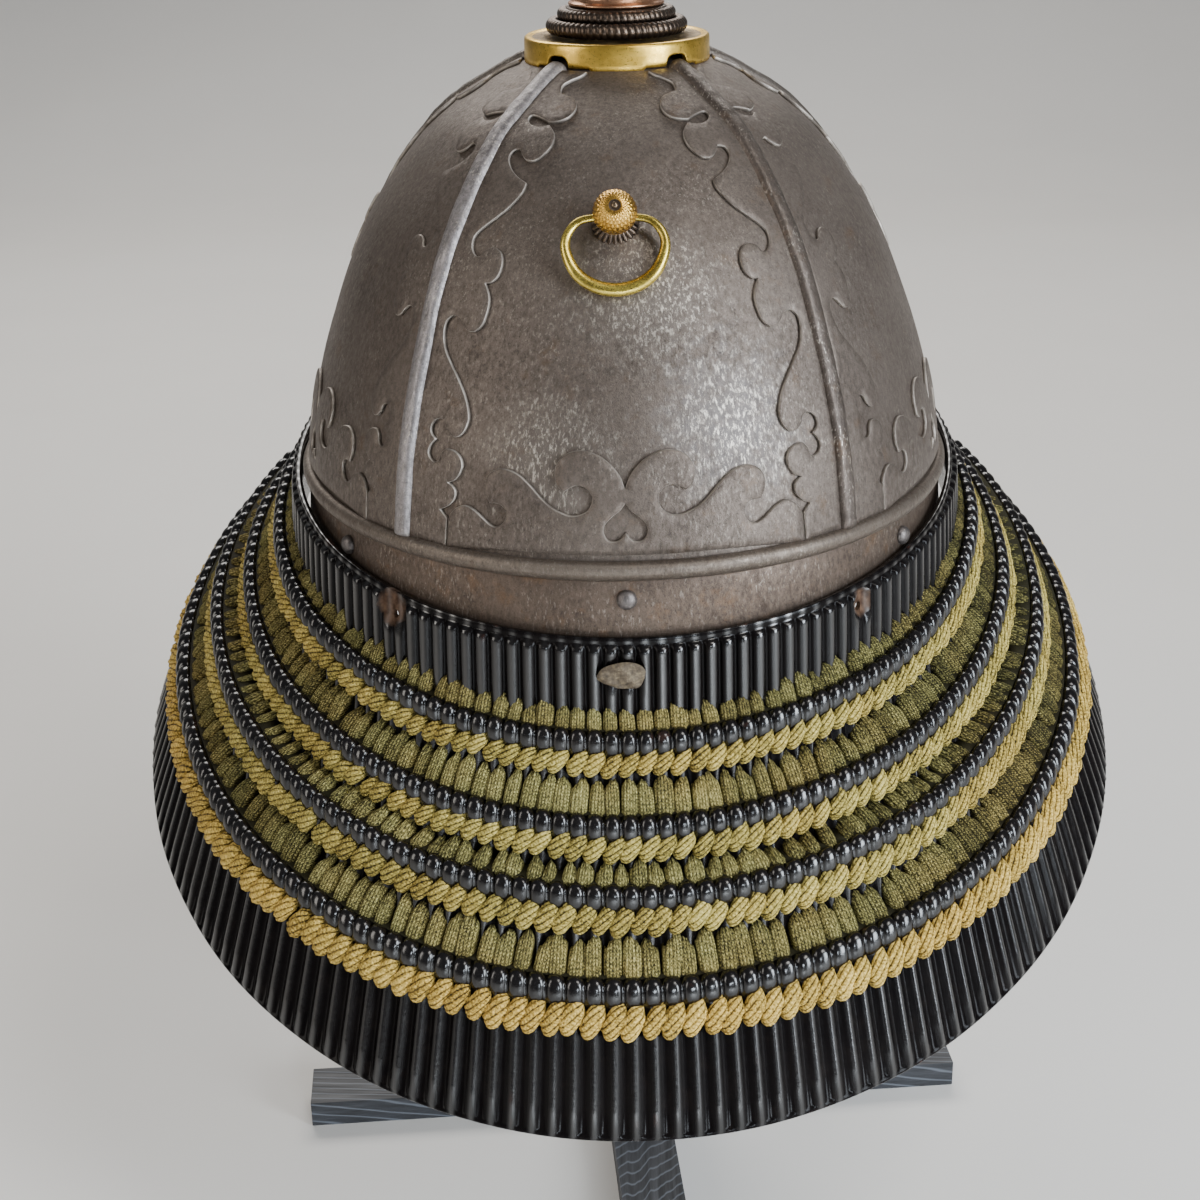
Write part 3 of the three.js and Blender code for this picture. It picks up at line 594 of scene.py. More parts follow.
def braid_look(name, light, mid, dark, brown, tilt, ply_depth, stitch_depth):
    """Plaited silk. Across and along a braid come from its UV, both in millimetres."""
    look = Look(name)
    across_mm, along_mm = look.axes(look.nodes.new("ShaderNodeUVMap").outputs["UV"])[0:2]
    aside = look.math("FRACT", look.math("DIVIDE", across_mm, BRAID_PLY))
    aside = look.math("ABSOLUTE", look.math("SUBTRACT", aside, 0.5))
    run = look.plus(look.math("DIVIDE", along_mm, 0.95), look.times(aside, tilt))
    run = look.plus(run, look.times(look.noise(2.0, detail=2, seed=13), 1.6))
    low = 1 - stitch_depth
    stitches = look.ramp(look.math("FRACT", run), (0.0, low), (0.30, 0.9), (0.55, 1.0), (0.80, 0.6),
                         (1.0, low))
    plies = look.ramp(aside, (0.0, 1.0), (0.32, 0.85), (0.5, 1 - ply_depth))
    height = look.times(stitches, plies)
    fibre = look.ramp(look.noise(0.75, detail=3, roughness=0.8, seed=5), (0.38, 0.0), (0.62, 1.0))
    tone = look.plus(look.times(look.noise(12, detail=5, seed=1), 0.30), look.times(fibre, 0.34))
    # The plait's relief also darkens the colour where it is low: painted shade in the grooves between
    # plies and stitches.
    tone = look.plus(look.times(height, 0.42), tone)
    # The tone mark: a random step for each braid or strand; on the braids also painted shade at the
    # row's sides, their edges and folded tops, and the dark strip.
    tone = look.plus(tone, look.times(look.mark("tone"), 0.12))
    colour = look.ramp(tone, (0.26, scaled(dark, 0.2)), (0.42, dark), (0.62, mid), (0.88, light))
    colour = look.over(colour, look.mix(1.0, colour, brown, "MULTIPLY"),
                       look.noise(38, detail=4, seed=31), (0.42, 0.0), (0.62, 0.55))
    look.set(Base_Color=colour, Roughness=0.72, Specular_IOR_Level=0.2)
    look.bump(fibre, 0.30, 0.5, look.bump(height, 0.5, 1.0))
    return look


def leather_look():
    """Dry hide, pale where its grain stands up."""
    look = Look("leather")
    grain = look.noise(1.6, detail=7, roughness=0.7)
    colour = look.ramp(grain, (0.3, (0.030, 0.020, 0.013)), (0.52, (0.095, 0.070, 0.042)),
                       (0.72, (0.20, 0.155, 0.09)))
    look.set(Base_Color=colour, Roughness=look.ramp(grain, (0.3, 0.8), (0.7, 0.6)))
    look.bump(look.plus(grain, look.noise(0.7, detail=3, seed=2)), 0.35, 0.7)
    return look


def wood_look(name, along_x):
    """Black-stained softwood: the grain runs along the bar and shows through the stain."""
    look = Look(name)
    stretch = (0.06, 1, 1) if along_x else (1, 0.06, 1)
    slant = (0.02, 0.30, 0.24) if along_x else (-0.16, 0.17, 0.05)    # growth rings for each mm
    grain = look.noise(1.8, detail=6, roughness=0.62, stretch=stretch)
    rings = look.times(look.noise(6.5, detail=2, roughness=0.4, stretch=stretch, seed=3),
                       1.0 if along_x else 2.4)
    for share, part in zip(slant, look.axes(look.place)):
        rings = look.plus(rings, look.times(part, share / MM))
    rings = look.math("FRACT", rings)
    colour = look.ramp(grain, (0.28, (0.008, 0.0085, 0.010)), (0.6, (0.030, 0.032, 0.038)),
                       (0.8, (0.060, 0.065, 0.075)))
    colour = look.over(colour, (0.13, 0.145, 0.17), rings,
                       (0.0, 0.3), (0.10, 0.8), (0.24, 0.0), (1.0, 0.0))
    look.set(Base_Color=colour, Roughness=look.ramp(grain, (0.3, 0.66), (0.7, 0.48)))
    look.bump(look.plus(grain, look.times(rings, 0.3)), 0.25, 0.6)
    return look


engraved = engraved_brass()
lacquer = lacquer_look("lacquer")
torn_lacquer = lacquer_look("torn_lacquer", [
    (tuple(on_lame(LAMES[0], angle, z, 0.5)), size) for angle, z, size in BARE_SPOTS])
lace = braid_look("lace", (0.56, 0.505, 0.20), (0.240, 0.215, 0.070), (0.074, 0.066, 0.018),
                  (1.15, 0.88, 0.72), 1.6, 0.85, 0.75)
rope = braid_look("rope_lace", (0.68, 0.56, 0.175), (0.36, 0.285, 0.068), (0.115, 0.088, 0.018),
                  (1.10, 0.92, 0.80), 1.0, 0.9, 0.25)
gold_rope = braid_look("gold_rope", (0.80, 0.57, 0.165), (0.47, 0.32, 0.068), (0.16, 0.10, 0.018),
                       (1.05, 0.95, 0.85), 1.0, 0.9, 0.25)
leather = leather_look()


# ---- bowl
def bowl_surface(angle, share, offset=0.0):
    """The bowl's face with the small unevenness of hammered plates, moved out by offset."""
    plain = bowl(angle, share)
    return bowl(angle, share, offset + (0.10 * ripple(plain, 46) + 0.05 * ripple(plain, 17, 1)))


def build_bowl():
    """The bowl as one hollow shell, open at the waist and at the crown."""
    angles = np.arange(0, 360, 1.5)[:, None]
    outer = bowl_surface(angles, np.linspace(0, 1, 90))
    inner = bowl(angles, np.linspace(1, 0, 16), -BOWL_WALL)
    points = np.concatenate([outer, inner], axis=1)
    add_piece("iron_bowl", points, skin(points, closed=True), bowl_iron,
              [node for node in frame["nodes"] if node.startswith("bowl_")])


def build_rib(name, at):
    """A low bar up the bowl with a broad, worn and hammered top."""
    shares = np.linspace(share_at(RIB_LOW_Z), share_at(RIB_HIGH_Z), 150)
    sides = np.sin(np.radians(np.linspace(-90, 90, 17)))
    lifts = (1 - np.abs(sides) ** 3.0) ** 0.6
    loops = []
    for share in shares:
        middle = bowl(at, share)
        level = unit((bowl(at + 0.5, share) - bowl(at - 0.5, share)) * (1, 1, 0))
        out = bowl(at, share, 1.0) - middle
        fade = min(1.0, (share - shares[0]) / 0.012 + 0.45)
        half = RIB_WIDTH / 2 * (1 + 0.03 * ripple(middle[None, :], 13, 2)[0])
        loop = []
        for side, lift in zip(sides, lifts):
            point = middle + level * half * side
            dents = 0.09 * ripple(point[None, :], 7, 2)[0] + 0.05 * ripple(point[None, :], 3, 1)[0]
            loop.append(point + out * ((RIB_HEIGHT - 0.2 + dents) * lift * fade))
        loops.append(loop + [middle + level * half * side - out * 0.5 for side in (1, -1)])
    points = np.array(loops)
    add_piece(name.replace("rib_", "bar_"), points, skin(points), rib_irons.get(name, rib_iron),
              [name])


def add_girdle(name, section, radius, look, node, uneven):
    """A ring round the bowl of (half width, height over the waist) corners, eased by radius."""
    angles = np.arange(0, 360, 1.25)
    points = np.stack([oval(angles, width, z) for width, z in rounded(section, radius)], axis=1)
    points = points + unit(points * (1, 1, 0)) * (uneven * ripple(points, 31, 1))[..., None]
    add_piece(name, points, skin(points, closed=True), look, [node])


def build_bead_and_band():
    """The raised ring round the waist and the plain band below it."""
    top = BEAD_HIGH[0]
    add_girdle("waist_bead_ring", [
        (103.4, 2.3), (104.9, 2.3), (top - 0.5, 1.7), (top + 0.1, 0.6), (top + 0.2, -0.7),
        (top - 0.3, -2.1), (top - 1.3, -3.2), (104.6, -3.5), (103.2, -3.5)],
        0.5, bead_iron, "waist_bead", 0.06)
    add_girdle("iron_band", [
        (104.6, BAND_HIGH_Z), (105.2, -10.0), (105.9, BAND_LOW_Z + 0.3), (105.6, BAND_LOW_Z),
        (104.2, BAND_LOW_Z), (103.9, BAND_LOW_Z + 0.3), (102.9, BAND_HIGH_Z)],
        0.3, band_iron, "waist_band", 0.12)


def build_rivets():
    """Low round heads where the frame has its rivets, square to the band."""
    nodes = [f"band_rivet_{i}" for i in range(1, 6)]
    profile = [(2.9, -0.3), (2.95, 0.3), (2.8, 0.9), (2.4, 1.5), (1.75, 1.95), (0.9, 2.2), (0.02, 2.28)]
    seat = 105.4                      # half width of the oval on which the rivets sit
    heads = Bundle()
    for node in nodes:
        low, high = frame_box(node)
        centre = (low + high) / 2
        angle = math.degrees(math.atan2(centre[0] / seat, -centre[1] / half_depth(seat)))
        foot = oval(angle, seat - 0.25, centre[2] - WAIST_Z)
        out = unit(oval(angle, seat + 0.75, centre[2] - WAIST_Z) - foot)
        heads.add([ellipse(foot + out * lift, *across(out), radius, radius, circle(24))
                   for radius, lift in profile])
    heads.build("band_rivet_heads", rivet_iron, nodes)


# ---- scroll-edged frame plates
# Right half of the open field inside a frame plate, in mm across and up from the waist, as runs
# of smooth curve from one cusp to the next. Each run starts where the one before it ends.
SCROLL = [
    [(0.0, 22.6)],
    # the great curl beside the middle cusp, and the hook that it ends in
    [(1.1, 25.6), (3.0, 28.3), (5.5, 30.6), (8.3, 32.1), (11.4, 32.9), (14.5, 32.6), (17.3, 31.2),
     (19.2, 28.7), (19.7, 26.0), (18.9, 23.1), (17.0, 21.7)],
    # the long wave to the second curl
    [(15.2, 22.9), (13.3, 23.5), (11.0, 22.8), (9.5, 21.0), (9.4, 18.8), (10.6, 16.6), (12.9, 15.3),
     (15.7, 15.0), (18.8, 16.1), (21.6, 17.7), (24.1, 20.0), (26.6, 22.7), (29.5, 25.2),
     (32.3, 26.4), (35.5, 26.5), (38.2, 24.9), (39.6, 22.3), (39.6, 19.3), (38.4, 16.7)],
    # the small wave into the lower corner
    [(36.0, 16.8), (34.3, 15.8), (33.8, 13.9), (34.7, 11.5), (36.8, 10.1), (38.8, 10.7),
     (40.9, 12.4), (43.2, 14.1), (45.5, 14.9), (48.0, 14.0), (49.8, 12.1), (50.8, 10.1)],
    # the seam between the plate's foot and its side, open by a hair
    [(51.7, 1.0)], [(52.0, 1.0)], [(51.2, 10.2)], [(53.2, 12.4)],
    # leaves at the foot of the side
    [(50.7, 13.8), (48.8, 16.1), (48.4, 18.4), (49.3, 19.8), (50.6, 20.5)],
    [(48.6, 21.4), (47.1, 23.3), (46.1, 25.9), (46.8, 28.3), (48.8, 29.6), (50.9, 29.7)],
    [(52.4, 28.1), (53.1, 26.3), (54.5, 25.3)],
    [(55.8, 26.1), (56.3, 27.9), (55.5, 29.9), (53.9, 31.7)],
    # the tall wave up the side, with its two hooks
    [(55.2, 32.9), (55.2, 34.8), (54.1, 36.6), (52.4, 37.5), (51.0, 36.8), (50.5, 34.9), (49.3, 33.5),
     (47.8, 33.2), (46.0, 34.4), (44.6, 36.6), (43.9, 39.6), (44.9, 44.3), (46.9, 48.7), (49.0, 52.3),
     (50.6, 55.7), (51.0, 59.3), (50.2, 62.8), (48.2, 64.7), (46.4, 64.6), (45.2, 63.0), (44.0, 61.5),
     (41.9, 61.5), (39.6, 63.4), (38.2, 66.4), (37.4, 69.8), (37.8, 72.2), (38.6, 74.1)],
    [(36.8, 74.5), (34.7, 76.5), (33.6, 79.6), (34.1, 82.3), (36.2, 83.2), (38.6, 82.3), (40.2, 80.7),
     (41.7, 80.8), (42.5, 82.6), (41.9, 85.2), (39.8, 87.3), (36.5, 89.7), (32.7, 92.4), (29.5, 95.2),
     (27.4, 97.6), (26.7, 99.4)],
    # curls under the crown
    [(29.5, 100.9), (31.4, 102.9), (31.8, 105.0), (30.4, 106.7), (28.4, 107.2)],
    [(27.7, 105.5), (26.2, 104.6), (23.9, 104.9), (21.2, 106.6), (19.2, 108.8), (18.6, 111.2),
     (20.1, 113.1)],
    [(22.8, 112.5), (25.5, 112.9), (26.4, 114.1), (24.9, 115.0), (22.2, 114.5), (20.2, 113.7)],
    [(17.2, 114.1), (14.2, 115.1), (12.3, 117.1), (12.7, 119.0), (14.8, 119.8), (16.9, 120.3)],
    [(16.3, 121.9), (13.6, 123.2), (10.6, 124.2), (8.2, 125.6)],
]
HEART = [[(0.0, 18.7)], [(1.6, 16.6), (3.9, 14.8), (5.7, 12.8), (6.2, 10.6), (5.3, 8.6), (3.6, 7.9),
                         (1.7, 8.4), (0.0, 10.4)]]
EDGE_SLOPE = ((0.0, 0.34), (0.12, 0.12), (0.32, 0.0))   # distance from the edge, drop of the face
SCROLL_SPAN = 78                      # degrees of the back plate, for which the scrolls are drawn
DEGREE_MM = 1.86                      # flat map of the bowl: mm for each degree round the waist
PLATE_MESH = 2.6                      # spacing of a plate's inner points
OUTLINE_STEP = 0.7                    # spacing of the points along its scrolls


def cusped_curve(runs):
    """A polyline through runs of points, smooth along each run and sharp where two meet."""
    points = []
    for before, run in zip(runs, runs[1:]):
        run = np.array(before[-1:] + run)
        if len(run) > 2:
            run = catmull_rom(run, 16)
        length = run_length(run)
        steps = max(1, int(round(length[-1] / OUTLINE_STEP)))
        at = np.linspace(0, length[-1], steps + 1)[:-1]
        points.append(np.stack([np.interp(at, length, run[:, k]) for k in (0, 1)], 1))
    return np.vstack(points + [runs[-1][-1:]])


def mirrored(half):
    """The whole outline from its right half, whose first point lies on the middle line."""
    skip = slice(1, -1) if abs(half[-1][0]) < 1e-6 else slice(1, None)
    return np.vstack([half, (half[skip] * (-1, 1))[::-1]])


def field_to_dome(outline, middle):
    """The bowl's angle and share for points given across and up on a panel facing out at middle."""
    out = oval(middle, BOWL_HALF_WIDTH, 0.0)
    facing = math.atan2(out[0], -out[1])
    share = share_at(outline[:, 1])
    width, _ = outline_at(share)
    level, deep = width * math.cos(facing), half_depth(width) * math.sin(facing)
    turn = np.clip(outline[:, 0] / np.hypot(level, deep), -0.999, 0.999)
    angle = np.degrees(np.arctan2(deep, level) + np.arcsin(turn))
    return angle + 360 * np.round((middle - angle) / 360), share


def inside(points, polygon):
    """Which points are inside a closed polygon."""
    x, y = points[:, 0, None], points[:, 1, None]
    ax, ay = polygon.T
    bx, by = np.roll(polygon, -1, 0).T
    crosses = (ay > y) != (by > y)
    with np.errstate(divide="ignore", invalid="ignore"):
        at = ax + (y - ay) * (bx - ax) / (by - ay)
    return (crosses & (x < at)).sum(1) % 2 == 1


def edge_distance(points, polygon):
    """How far each point is from a closed polygon's nearest side."""
    side = np.roll(polygon, -1, 0) - polygon
    best = []
    for start in range(0, len(points), 500):
        p = points[start:start + 500, None, :]
        t = np.clip(((p - polygon) * side).sum(-1) / np.maximum((side * side).sum(-1), 1e-12), 0, 1)
        best.append(np.linalg.norm(p - (polygon + t[..., None] * side), axis=-1).min(1))
    return np.concatenate(best)


def moved_in(polygon, distance):
    """A closed polygon moved sideways by distance, away from its inside."""
    before, after = np.roll(polygon, 1, 0), np.roll(polygon, -1, 0)
    along = after - before
    normal = np.stack([along[:, 1], -along[:, 0]], 1)
    normal /= np.maximum(np.linalg.norm(normal, axis=1, keepdims=True), 1e-9)
    area = 0.5 * np.sum(polygon[:, 0] * after[:, 1] - after[:, 0] * polygon[:, 1])
    return polygon + normal * distance * (1 if area > 0 else -1)


def plate_outlines(span):
    """A plate's border, under the ribs, and its scrolled field and heart, on the flat map."""
    middle, squeeze = (span[0] + span[1]) / 2, (span[1] - span[0]) / SCROLL_SPAN
    low, high = (share_at(z) * DOME_LENGTH for z in (FRAME_LOW_Z, FRAME_HIGH_Z))
    heights = np.arange(low, high, PLATE_MESH)
    margin = np.degrees(FRAME_UNDER_RIB / outline_at(heights / DOME_LENGTH)[0])
    left, right = (np.stack([degrees * DEGREE_MM, heights], 1)
                   for degrees in (span[0] + margin, span[1] - margin))
    openings = []
    for runs in (SCROLL, HEART):
        outline = mirrored(cusped_curve(runs)) * (0.5 + 0.5 * squeeze, 1)
        angle, share = field_to_dome(outline, middle)
        openings.append(np.stack([angle * DEGREE_MM, share * DOME_LENGTH], 1))
    return heights, np.vstack([left, right[::-1]]), openings


def flat_plate(span):
    """The plate on the flat map: its points, its triangles and each point's distance to an edge."""
    heights, border, openings = plate_outlines(span)
    grid = np.array([(u, v) for v in heights[1:-1]
                     for u in np.arange(span[0] * DEGREE_MM, span[1] * DEGREE_MM, PLATE_MESH)])
    keep = inside(grid, border) & (edge_distance(grid, border) > 0.8)
    for opening in openings:
        keep &= ~inside(grid, opening) & (edge_distance(grid, opening) > 1.1)
    vertices, edges = [], []
    for outline in [border] + openings:
        count = len(outline)
        edges += [(len(vertices) + k, len(vertices) + (k + 1) % count) for k in range(count)]
        vertices += outline.tolist()
        if outline is not border:
            for distance, _ in EDGE_SLOPE[1:]:
                vertices += moved_in(outline, distance).tolist()
    vertices += grid[keep].tolist()
    flat, _, triangles, *_ = delaunay_2d_cdt([Vector(v) for v in vertices], edges, [], 0, 1e-5)
    flat, triangles = np.array([tuple(v) for v in flat]), np.array(triangles)
    centres = flat[triangles].mean(1)
    keep = inside(centres, border)
    for opening in openings:
        keep &= ~inside(centres, opening)
    used, triangles = np.unique(triangles[keep], return_inverse=True)
    flat = flat[used]
    distance = np.minimum(*(edge_distance(flat, opening) for opening in openings))
    return flat, triangles.reshape(-1, 3), distance


def build_frame(name, span):
    """One plate of the overlay: the panel less its scrolled field and heart, with soft edges."""
    flat, triangles, distance = flat_plate(span)
    drop = np.interp(distance, *zip(*EDGE_SLOPE))
    angle, share = flat[:, 0] / DEGREE_MM, flat[:, 1] / DOME_LENGTH
    face = bowl_surface(angle, share, FRAME_THICK - drop)
    foot = bowl_surface(angle, share, -0.25)
    a, b, c = (face[triangles[:, i]] for i in range(3))
    out = a - foot[triangles[:, 0]]
    faces_out = (np.cross(b - a, c - a) * out).sum(1) > 0
    faces = [tuple(t) if ok else tuple(t)[::-1] for t, ok in zip(triangles, faces_out)]
    sides = {side: None for t in faces for side in zip(t, t[1:] + t[:1])}
    count = len(flat)
    walls = [(b, a, a + count, b + count) for a, b in sides if (b, a) not in sides]
    backs = [tuple(i + count for i in reversed(t)) for t in faces]
    plate = add_piece("plate_" + name.replace("frame_", ""), np.vstack([face, foot]),
                      faces + walls + backs, frame_iron, [name])
    # rubbed is 1 at a scroll edge and 0 past 0.34 mm in; it lays the painted edge highlight.
    rubbed = np.concatenate([np.clip(1 - distance / 0.34, 0, 1), np.full(count, 0.35)])
    plate.data.attributes.new("rubbed", "FLOAT", "POINT").data.foreach_set("value", rubbed)


# ---- crown fitting
def build_crown_plate():
    """A short brass wall over the ribs, with an engraved top inside a bright rim."""
    degrees = np.arange(0, 360, 0.75)
    rim = PLATE_TOP - WAIST_Z + 0.1
    radius = PLATE_RADIUS
    notch = np.zeros_like(degrees)
    for at in RIB_ANGLES.values():
        away = (degrees - at + 180) % 360 - 180
        side = np.abs(np.radians(away)) * radius / (RIB_WIDTH / 2 + 0.5)
        notch = np.maximum(notch, 3.0 * np.clip(1 - side ** 3, 0, 1) ** 0.5 + (side < 1) * 0.3)
    tab = np.zeros_like(degrees)
    for at in (0, 73, -73, 143, -143):
        away = np.abs((degrees - at + 180) % 360 - 180)
        tab = np.maximum(tab, 0.9 * np.clip((17 - away) / 1.2, 0, 1))
    low = 126.4 - tab + notch
    wall = rim - 1.4
    profile = [(CROWN_HOLE_RADIUS, rim - 0.5), (radius - 2.6, rim - 0.5), (radius - 2.2, rim - 0.15),
               (radius - 1.6, rim), (radius - 0.7, rim - 0.1), (radius - 0.15, rim - 0.6),
               (radius, wall)]
    profile += [(radius, wall * (1 - share) + low * share) for share in (0.35, 0.7, 0.93)]
    profile += [(radius - 0.3, low), (radius - 1.5, low + 0.1), (radius - 1.7, low + 0.6),
                (radius - 1.8, np.maximum(low + 0.8, rim - 2.2)), (CROWN_HOLE_RADIUS, rim - 2.0)]
    points = np.stack([turned(r, z + WAIST_Z, np.radians(degrees)) for r, z in profile], axis=1)
    plate = add_piece("crown_plate_brass", points, skin(points, closed=True), brass,
                      ["crown_plate"])
    plate.data.materials.append(engraved.material)
    for polygon in plate.data.polygons:
        if {i % len(profile) for i in polygon.vertices} == {0, 1}:
            polygon.material_index = 1


def build_rope_ring(name, node, strands):
    """A ring of twisted rope: a torus whose surface swells along slanting strands."""
    low, high = frame_box(node)
    thick = (high[2] - low[2]) / 2
    turn, section = np.meshgrid(circle(strands * 9), circle(28), indexing="ij")
    swell = thick * (0.90 + 0.16 * np.abs(np.cos((turn * strands + section) / 2)) ** 0.6)
    points = turned(high[0] - thick + swell * np.cos(section),
                    (low[2] + high[2]) / 2 + swell * np.sin(section), turn)
    add_piece(name, points, skin(points, closed=True), bronze, [node])


def build_collar():
    """The copper collar on its bronze seat."""
    low = PLATE_TOP - WAIST_Z
    top = frame_box("crown_collar")[1][2] - WAIST_Z
    hole = CROWN_HOLE_RADIUS
    add_lathe("collar_seat", [
        (hole, low + 0.4), (13.4, low + 0.4), (13.4, 140.6), (15.2, 140.7), (15.8, 141.2),
        (15.6, 141.8), (14.6, 142.1), (hole, 142.1)], bronze, 0.25)
    add_lathe("crown_collar_copper", [
        (hole, 142.2), (14.4, 142.2), (15.0, 142.6), (15.0, 143.1), (14.0, 143.7), (13.2, 144.8),
        (12.9, top - 3.2), (13.3, top - 1.9), (14.3, top - 1.1), (14.2, top - 0.5), (12.6, top),
        (11.2, top - 0.4), (hole, top - 3)], copper, 0.35, ["crown_collar"])


# ---- stud and hanging ring
RING_JOINT = frame["joints"][0]
HINGE = np.array(RING_JOINT["pos_m"]) / MM
LEVEL = np.array([1.0, 0, 0])
STUD_AXIS = unit(np.array([0.0, -0.851, 0.525]))
HINGE_OUT = 4.7
BALL_OUT = 9.2
BALL_RADIUS = 6.2
FLUTES = 24
RING_HANG = math.radians(27)          # how far from upright the ring hangs
RIDGE_SIDE = math.radians(-60)        # where the ridge lies round the ring's section
# The ring's middle line: mm across and down from its hinge.
RING_PATH = [(0, 0), (6.0, 0.0), (10.6, 1.2), (13.6, 5.0), (14.0, 9.6), (11.4, 15.6), (6.4, 19.6),
             (0, 21.0), (-6.4, 19.6), (-11.4, 15.6), (-14.0, 9.6), (-13.6, 5.0), (-10.6, 1.2),
             (-6.0, 0.0)]


def about_stud(radius, lift, turn):
    """A point round the stud's axis: its distance from it, its height over the foot, its turn."""
    radius, lift, turn = (v[..., None] for v in np.broadcast_arrays(radius, lift, turn))
    return (HINGE - STUD_AXIS * HINGE_OUT + lift * STUD_AXIS + radius * np.cos(turn) * LEVEL
            + radius * np.sin(turn) * np.cross(STUD_AXIS, LEVEL))


def build_rosette():
    """The fluted foot of the stud."""
    profile = [(0.02, 0.3), (6.7, 0.3), (7.0, 0.55), (6.9, 0.95), (6.2, 1.35), (5.2, 1.9), (4.4, 2.6),
               (3.5, 2.9), (0.02, 2.9)]
    turn = circle(FLUTES * 10)
    hollow = 1 - np.abs(np.cos(turn * FLUTES / 2)) ** 0.7
    loops = []
    for radius, lift in profile:
        depth = 0.55 * np.clip((radius - 3.2) / 2.5, 0, 1) * (lift > 0.5)
        loops.append(about_stud(radius - depth * hollow * 0.8, lift - depth * hollow, turn))
    loops = np.array(loops)
    add_piece("stud_rosette", loops, flat_ended(loops), bronze, ["stud_base"])


def build_stud():
    """The ball, chased with crossing spirals round a dark dish, and the pin in its top."""
    rows, columns, dish_rows, spirals = 84, 156, 10, 26
    turn = circle(columns)
    p, t = np.meshgrid(np.linspace(0.02, math.pi - 0.60, rows), turn, indexing="ij")
    spiral = 3.2 * np.log(np.tan(np.clip(p, 0.3, 2.7) / 2))
    lines = np.maximum(np.abs(np.sin(spirals * (t / 2) + spiral * 2.0)),
                       np.abs(np.sin(spirals * (t / 2) - spiral * 2.0)))
    relief = 0.26 * (1 - lines ** 6) * np.clip((p - 0.42) / 0.1, 0, 1)
    radius = BALL_RADIUS - 0.1 + relief - 0.45 * np.exp(-(p / 0.30) ** 4)
    loops = about_stud(radius * np.sin(p), BALL_OUT + radius * np.cos(p), t)
    neck = np.array([about_stud(r, h, turn) for r, h in ((3.3, 3.9), (3.4, 2.8))])
    points = np.concatenate([loops, neck])
    ball = add_piece("stud_ball", points, flat_ended(points), gilt, ["ring_stud"])
    ball.data.materials.append(bronze.material)
    for polygon in ball.data.polygons:
        if max(polygon.vertices) < columns * dish_rows:
            polygon.material_index = 1
    pin = np.array([about_stud(r, BALL_OUT + h, circle(24)) for r, h in (
        (0.9, 5.4), (0.9, 5.95), (0.7, 6.2), (0.35, 6.32), (0.02, 6.36))])
    add_piece("stud_pin", pin, flat_ended(pin), pin_metal)


def build_ring():
    """The loop hangs from a thin bar in the stud and thickens to a ridged bow at the bottom."""
    down = np.array([0, -math.sin(RING_HANG), -math.cos(RING_HANG)])
    facing = np.cross(down, LEVEL)
    path = catmull_rom(RING_PATH, 14, closed=True)
    middle = HINGE + path[:, :1] * LEVEL + path[:, 1:] * down
    along = unit(np.roll(middle, -1, 0) - np.roll(middle, 1, 0))
    outwards = unit(np.cross(along, facing))
    outwards *= np.sign(((middle - HINGE - 10.5 * down) * outwards).sum(1))[:, None]
    thick = 1.05 + 0.90 * np.clip(path[:, 1] / 20, 0, 1) ** 0.9
    middle = middle + (thick - 1.1)[:, None] * facing * 0.9
    turn = circle(24)
    squash = (1 + 0.12 * np.clip(np.cos(turn - RIDGE_SIDE), 0, 1) ** 6
              - 0.05 * np.cos(2 * (turn - RIDGE_SIDE)))
    points = (middle[:, None] + thick[:, None, None] * squash[:, None] * (
        np.cos(turn)[:, None] * facing + np.sin(turn)[:, None] * outwards[:, None]))
    add_piece("ring_loop_brass", points, skin(points, closed=True), ring_brass,
              ["hanging_ring"], body=RING_JOINT["child"])


# ---- neck guard
SCALE_COLUMNS = 10                    # points across one scale
HEAD_HEIGHT = 8.0
HEAD_PROUD = 2.6
RIDGE_HIGH = 1.85                     # ridges of the top lame
WAVE_HIGH = 1.4                       # ridges under the heads of the others
TOP_LAME_MM = 2.1                     # mm for each degree round the top lame


def scale_count(lame):
    """How many scales a lame has."""
    return int(2 * lame["ends"] / lame["pitch"])


def across_scale(lame, angle):
    """The place across a scale, from -0.5 to 0.5."""
    return (angle / lame["pitch"] + 0.5) % 1 - 0.5


def lame_heights(lame, has_heads):
    """Heights at the back for the rows of points down a lame's face."""
    top, low = lame["top"][1], lame["low"][1]
    if has_heads:
        head = top - HEAD_HEIGHT * np.array([0, 0.03, 0.09, 0.2, 0.34, 0.5, 0.66, 0.8, 0.91, 0.98])
        body = np.linspace(top - HEAD_HEIGHT - 0.3, low + 1.9, 6)
    else:
        head = top - np.array([0, 0.3, 1.5, 2.2, 2.5, 2.9, 3.4, 4.2])
        body = np.linspace(top - 5.2, low + 1.9, 9)
    return np.concatenate([head, body, low + np.array([1.4, 0.9, 0.3, 0.0])])


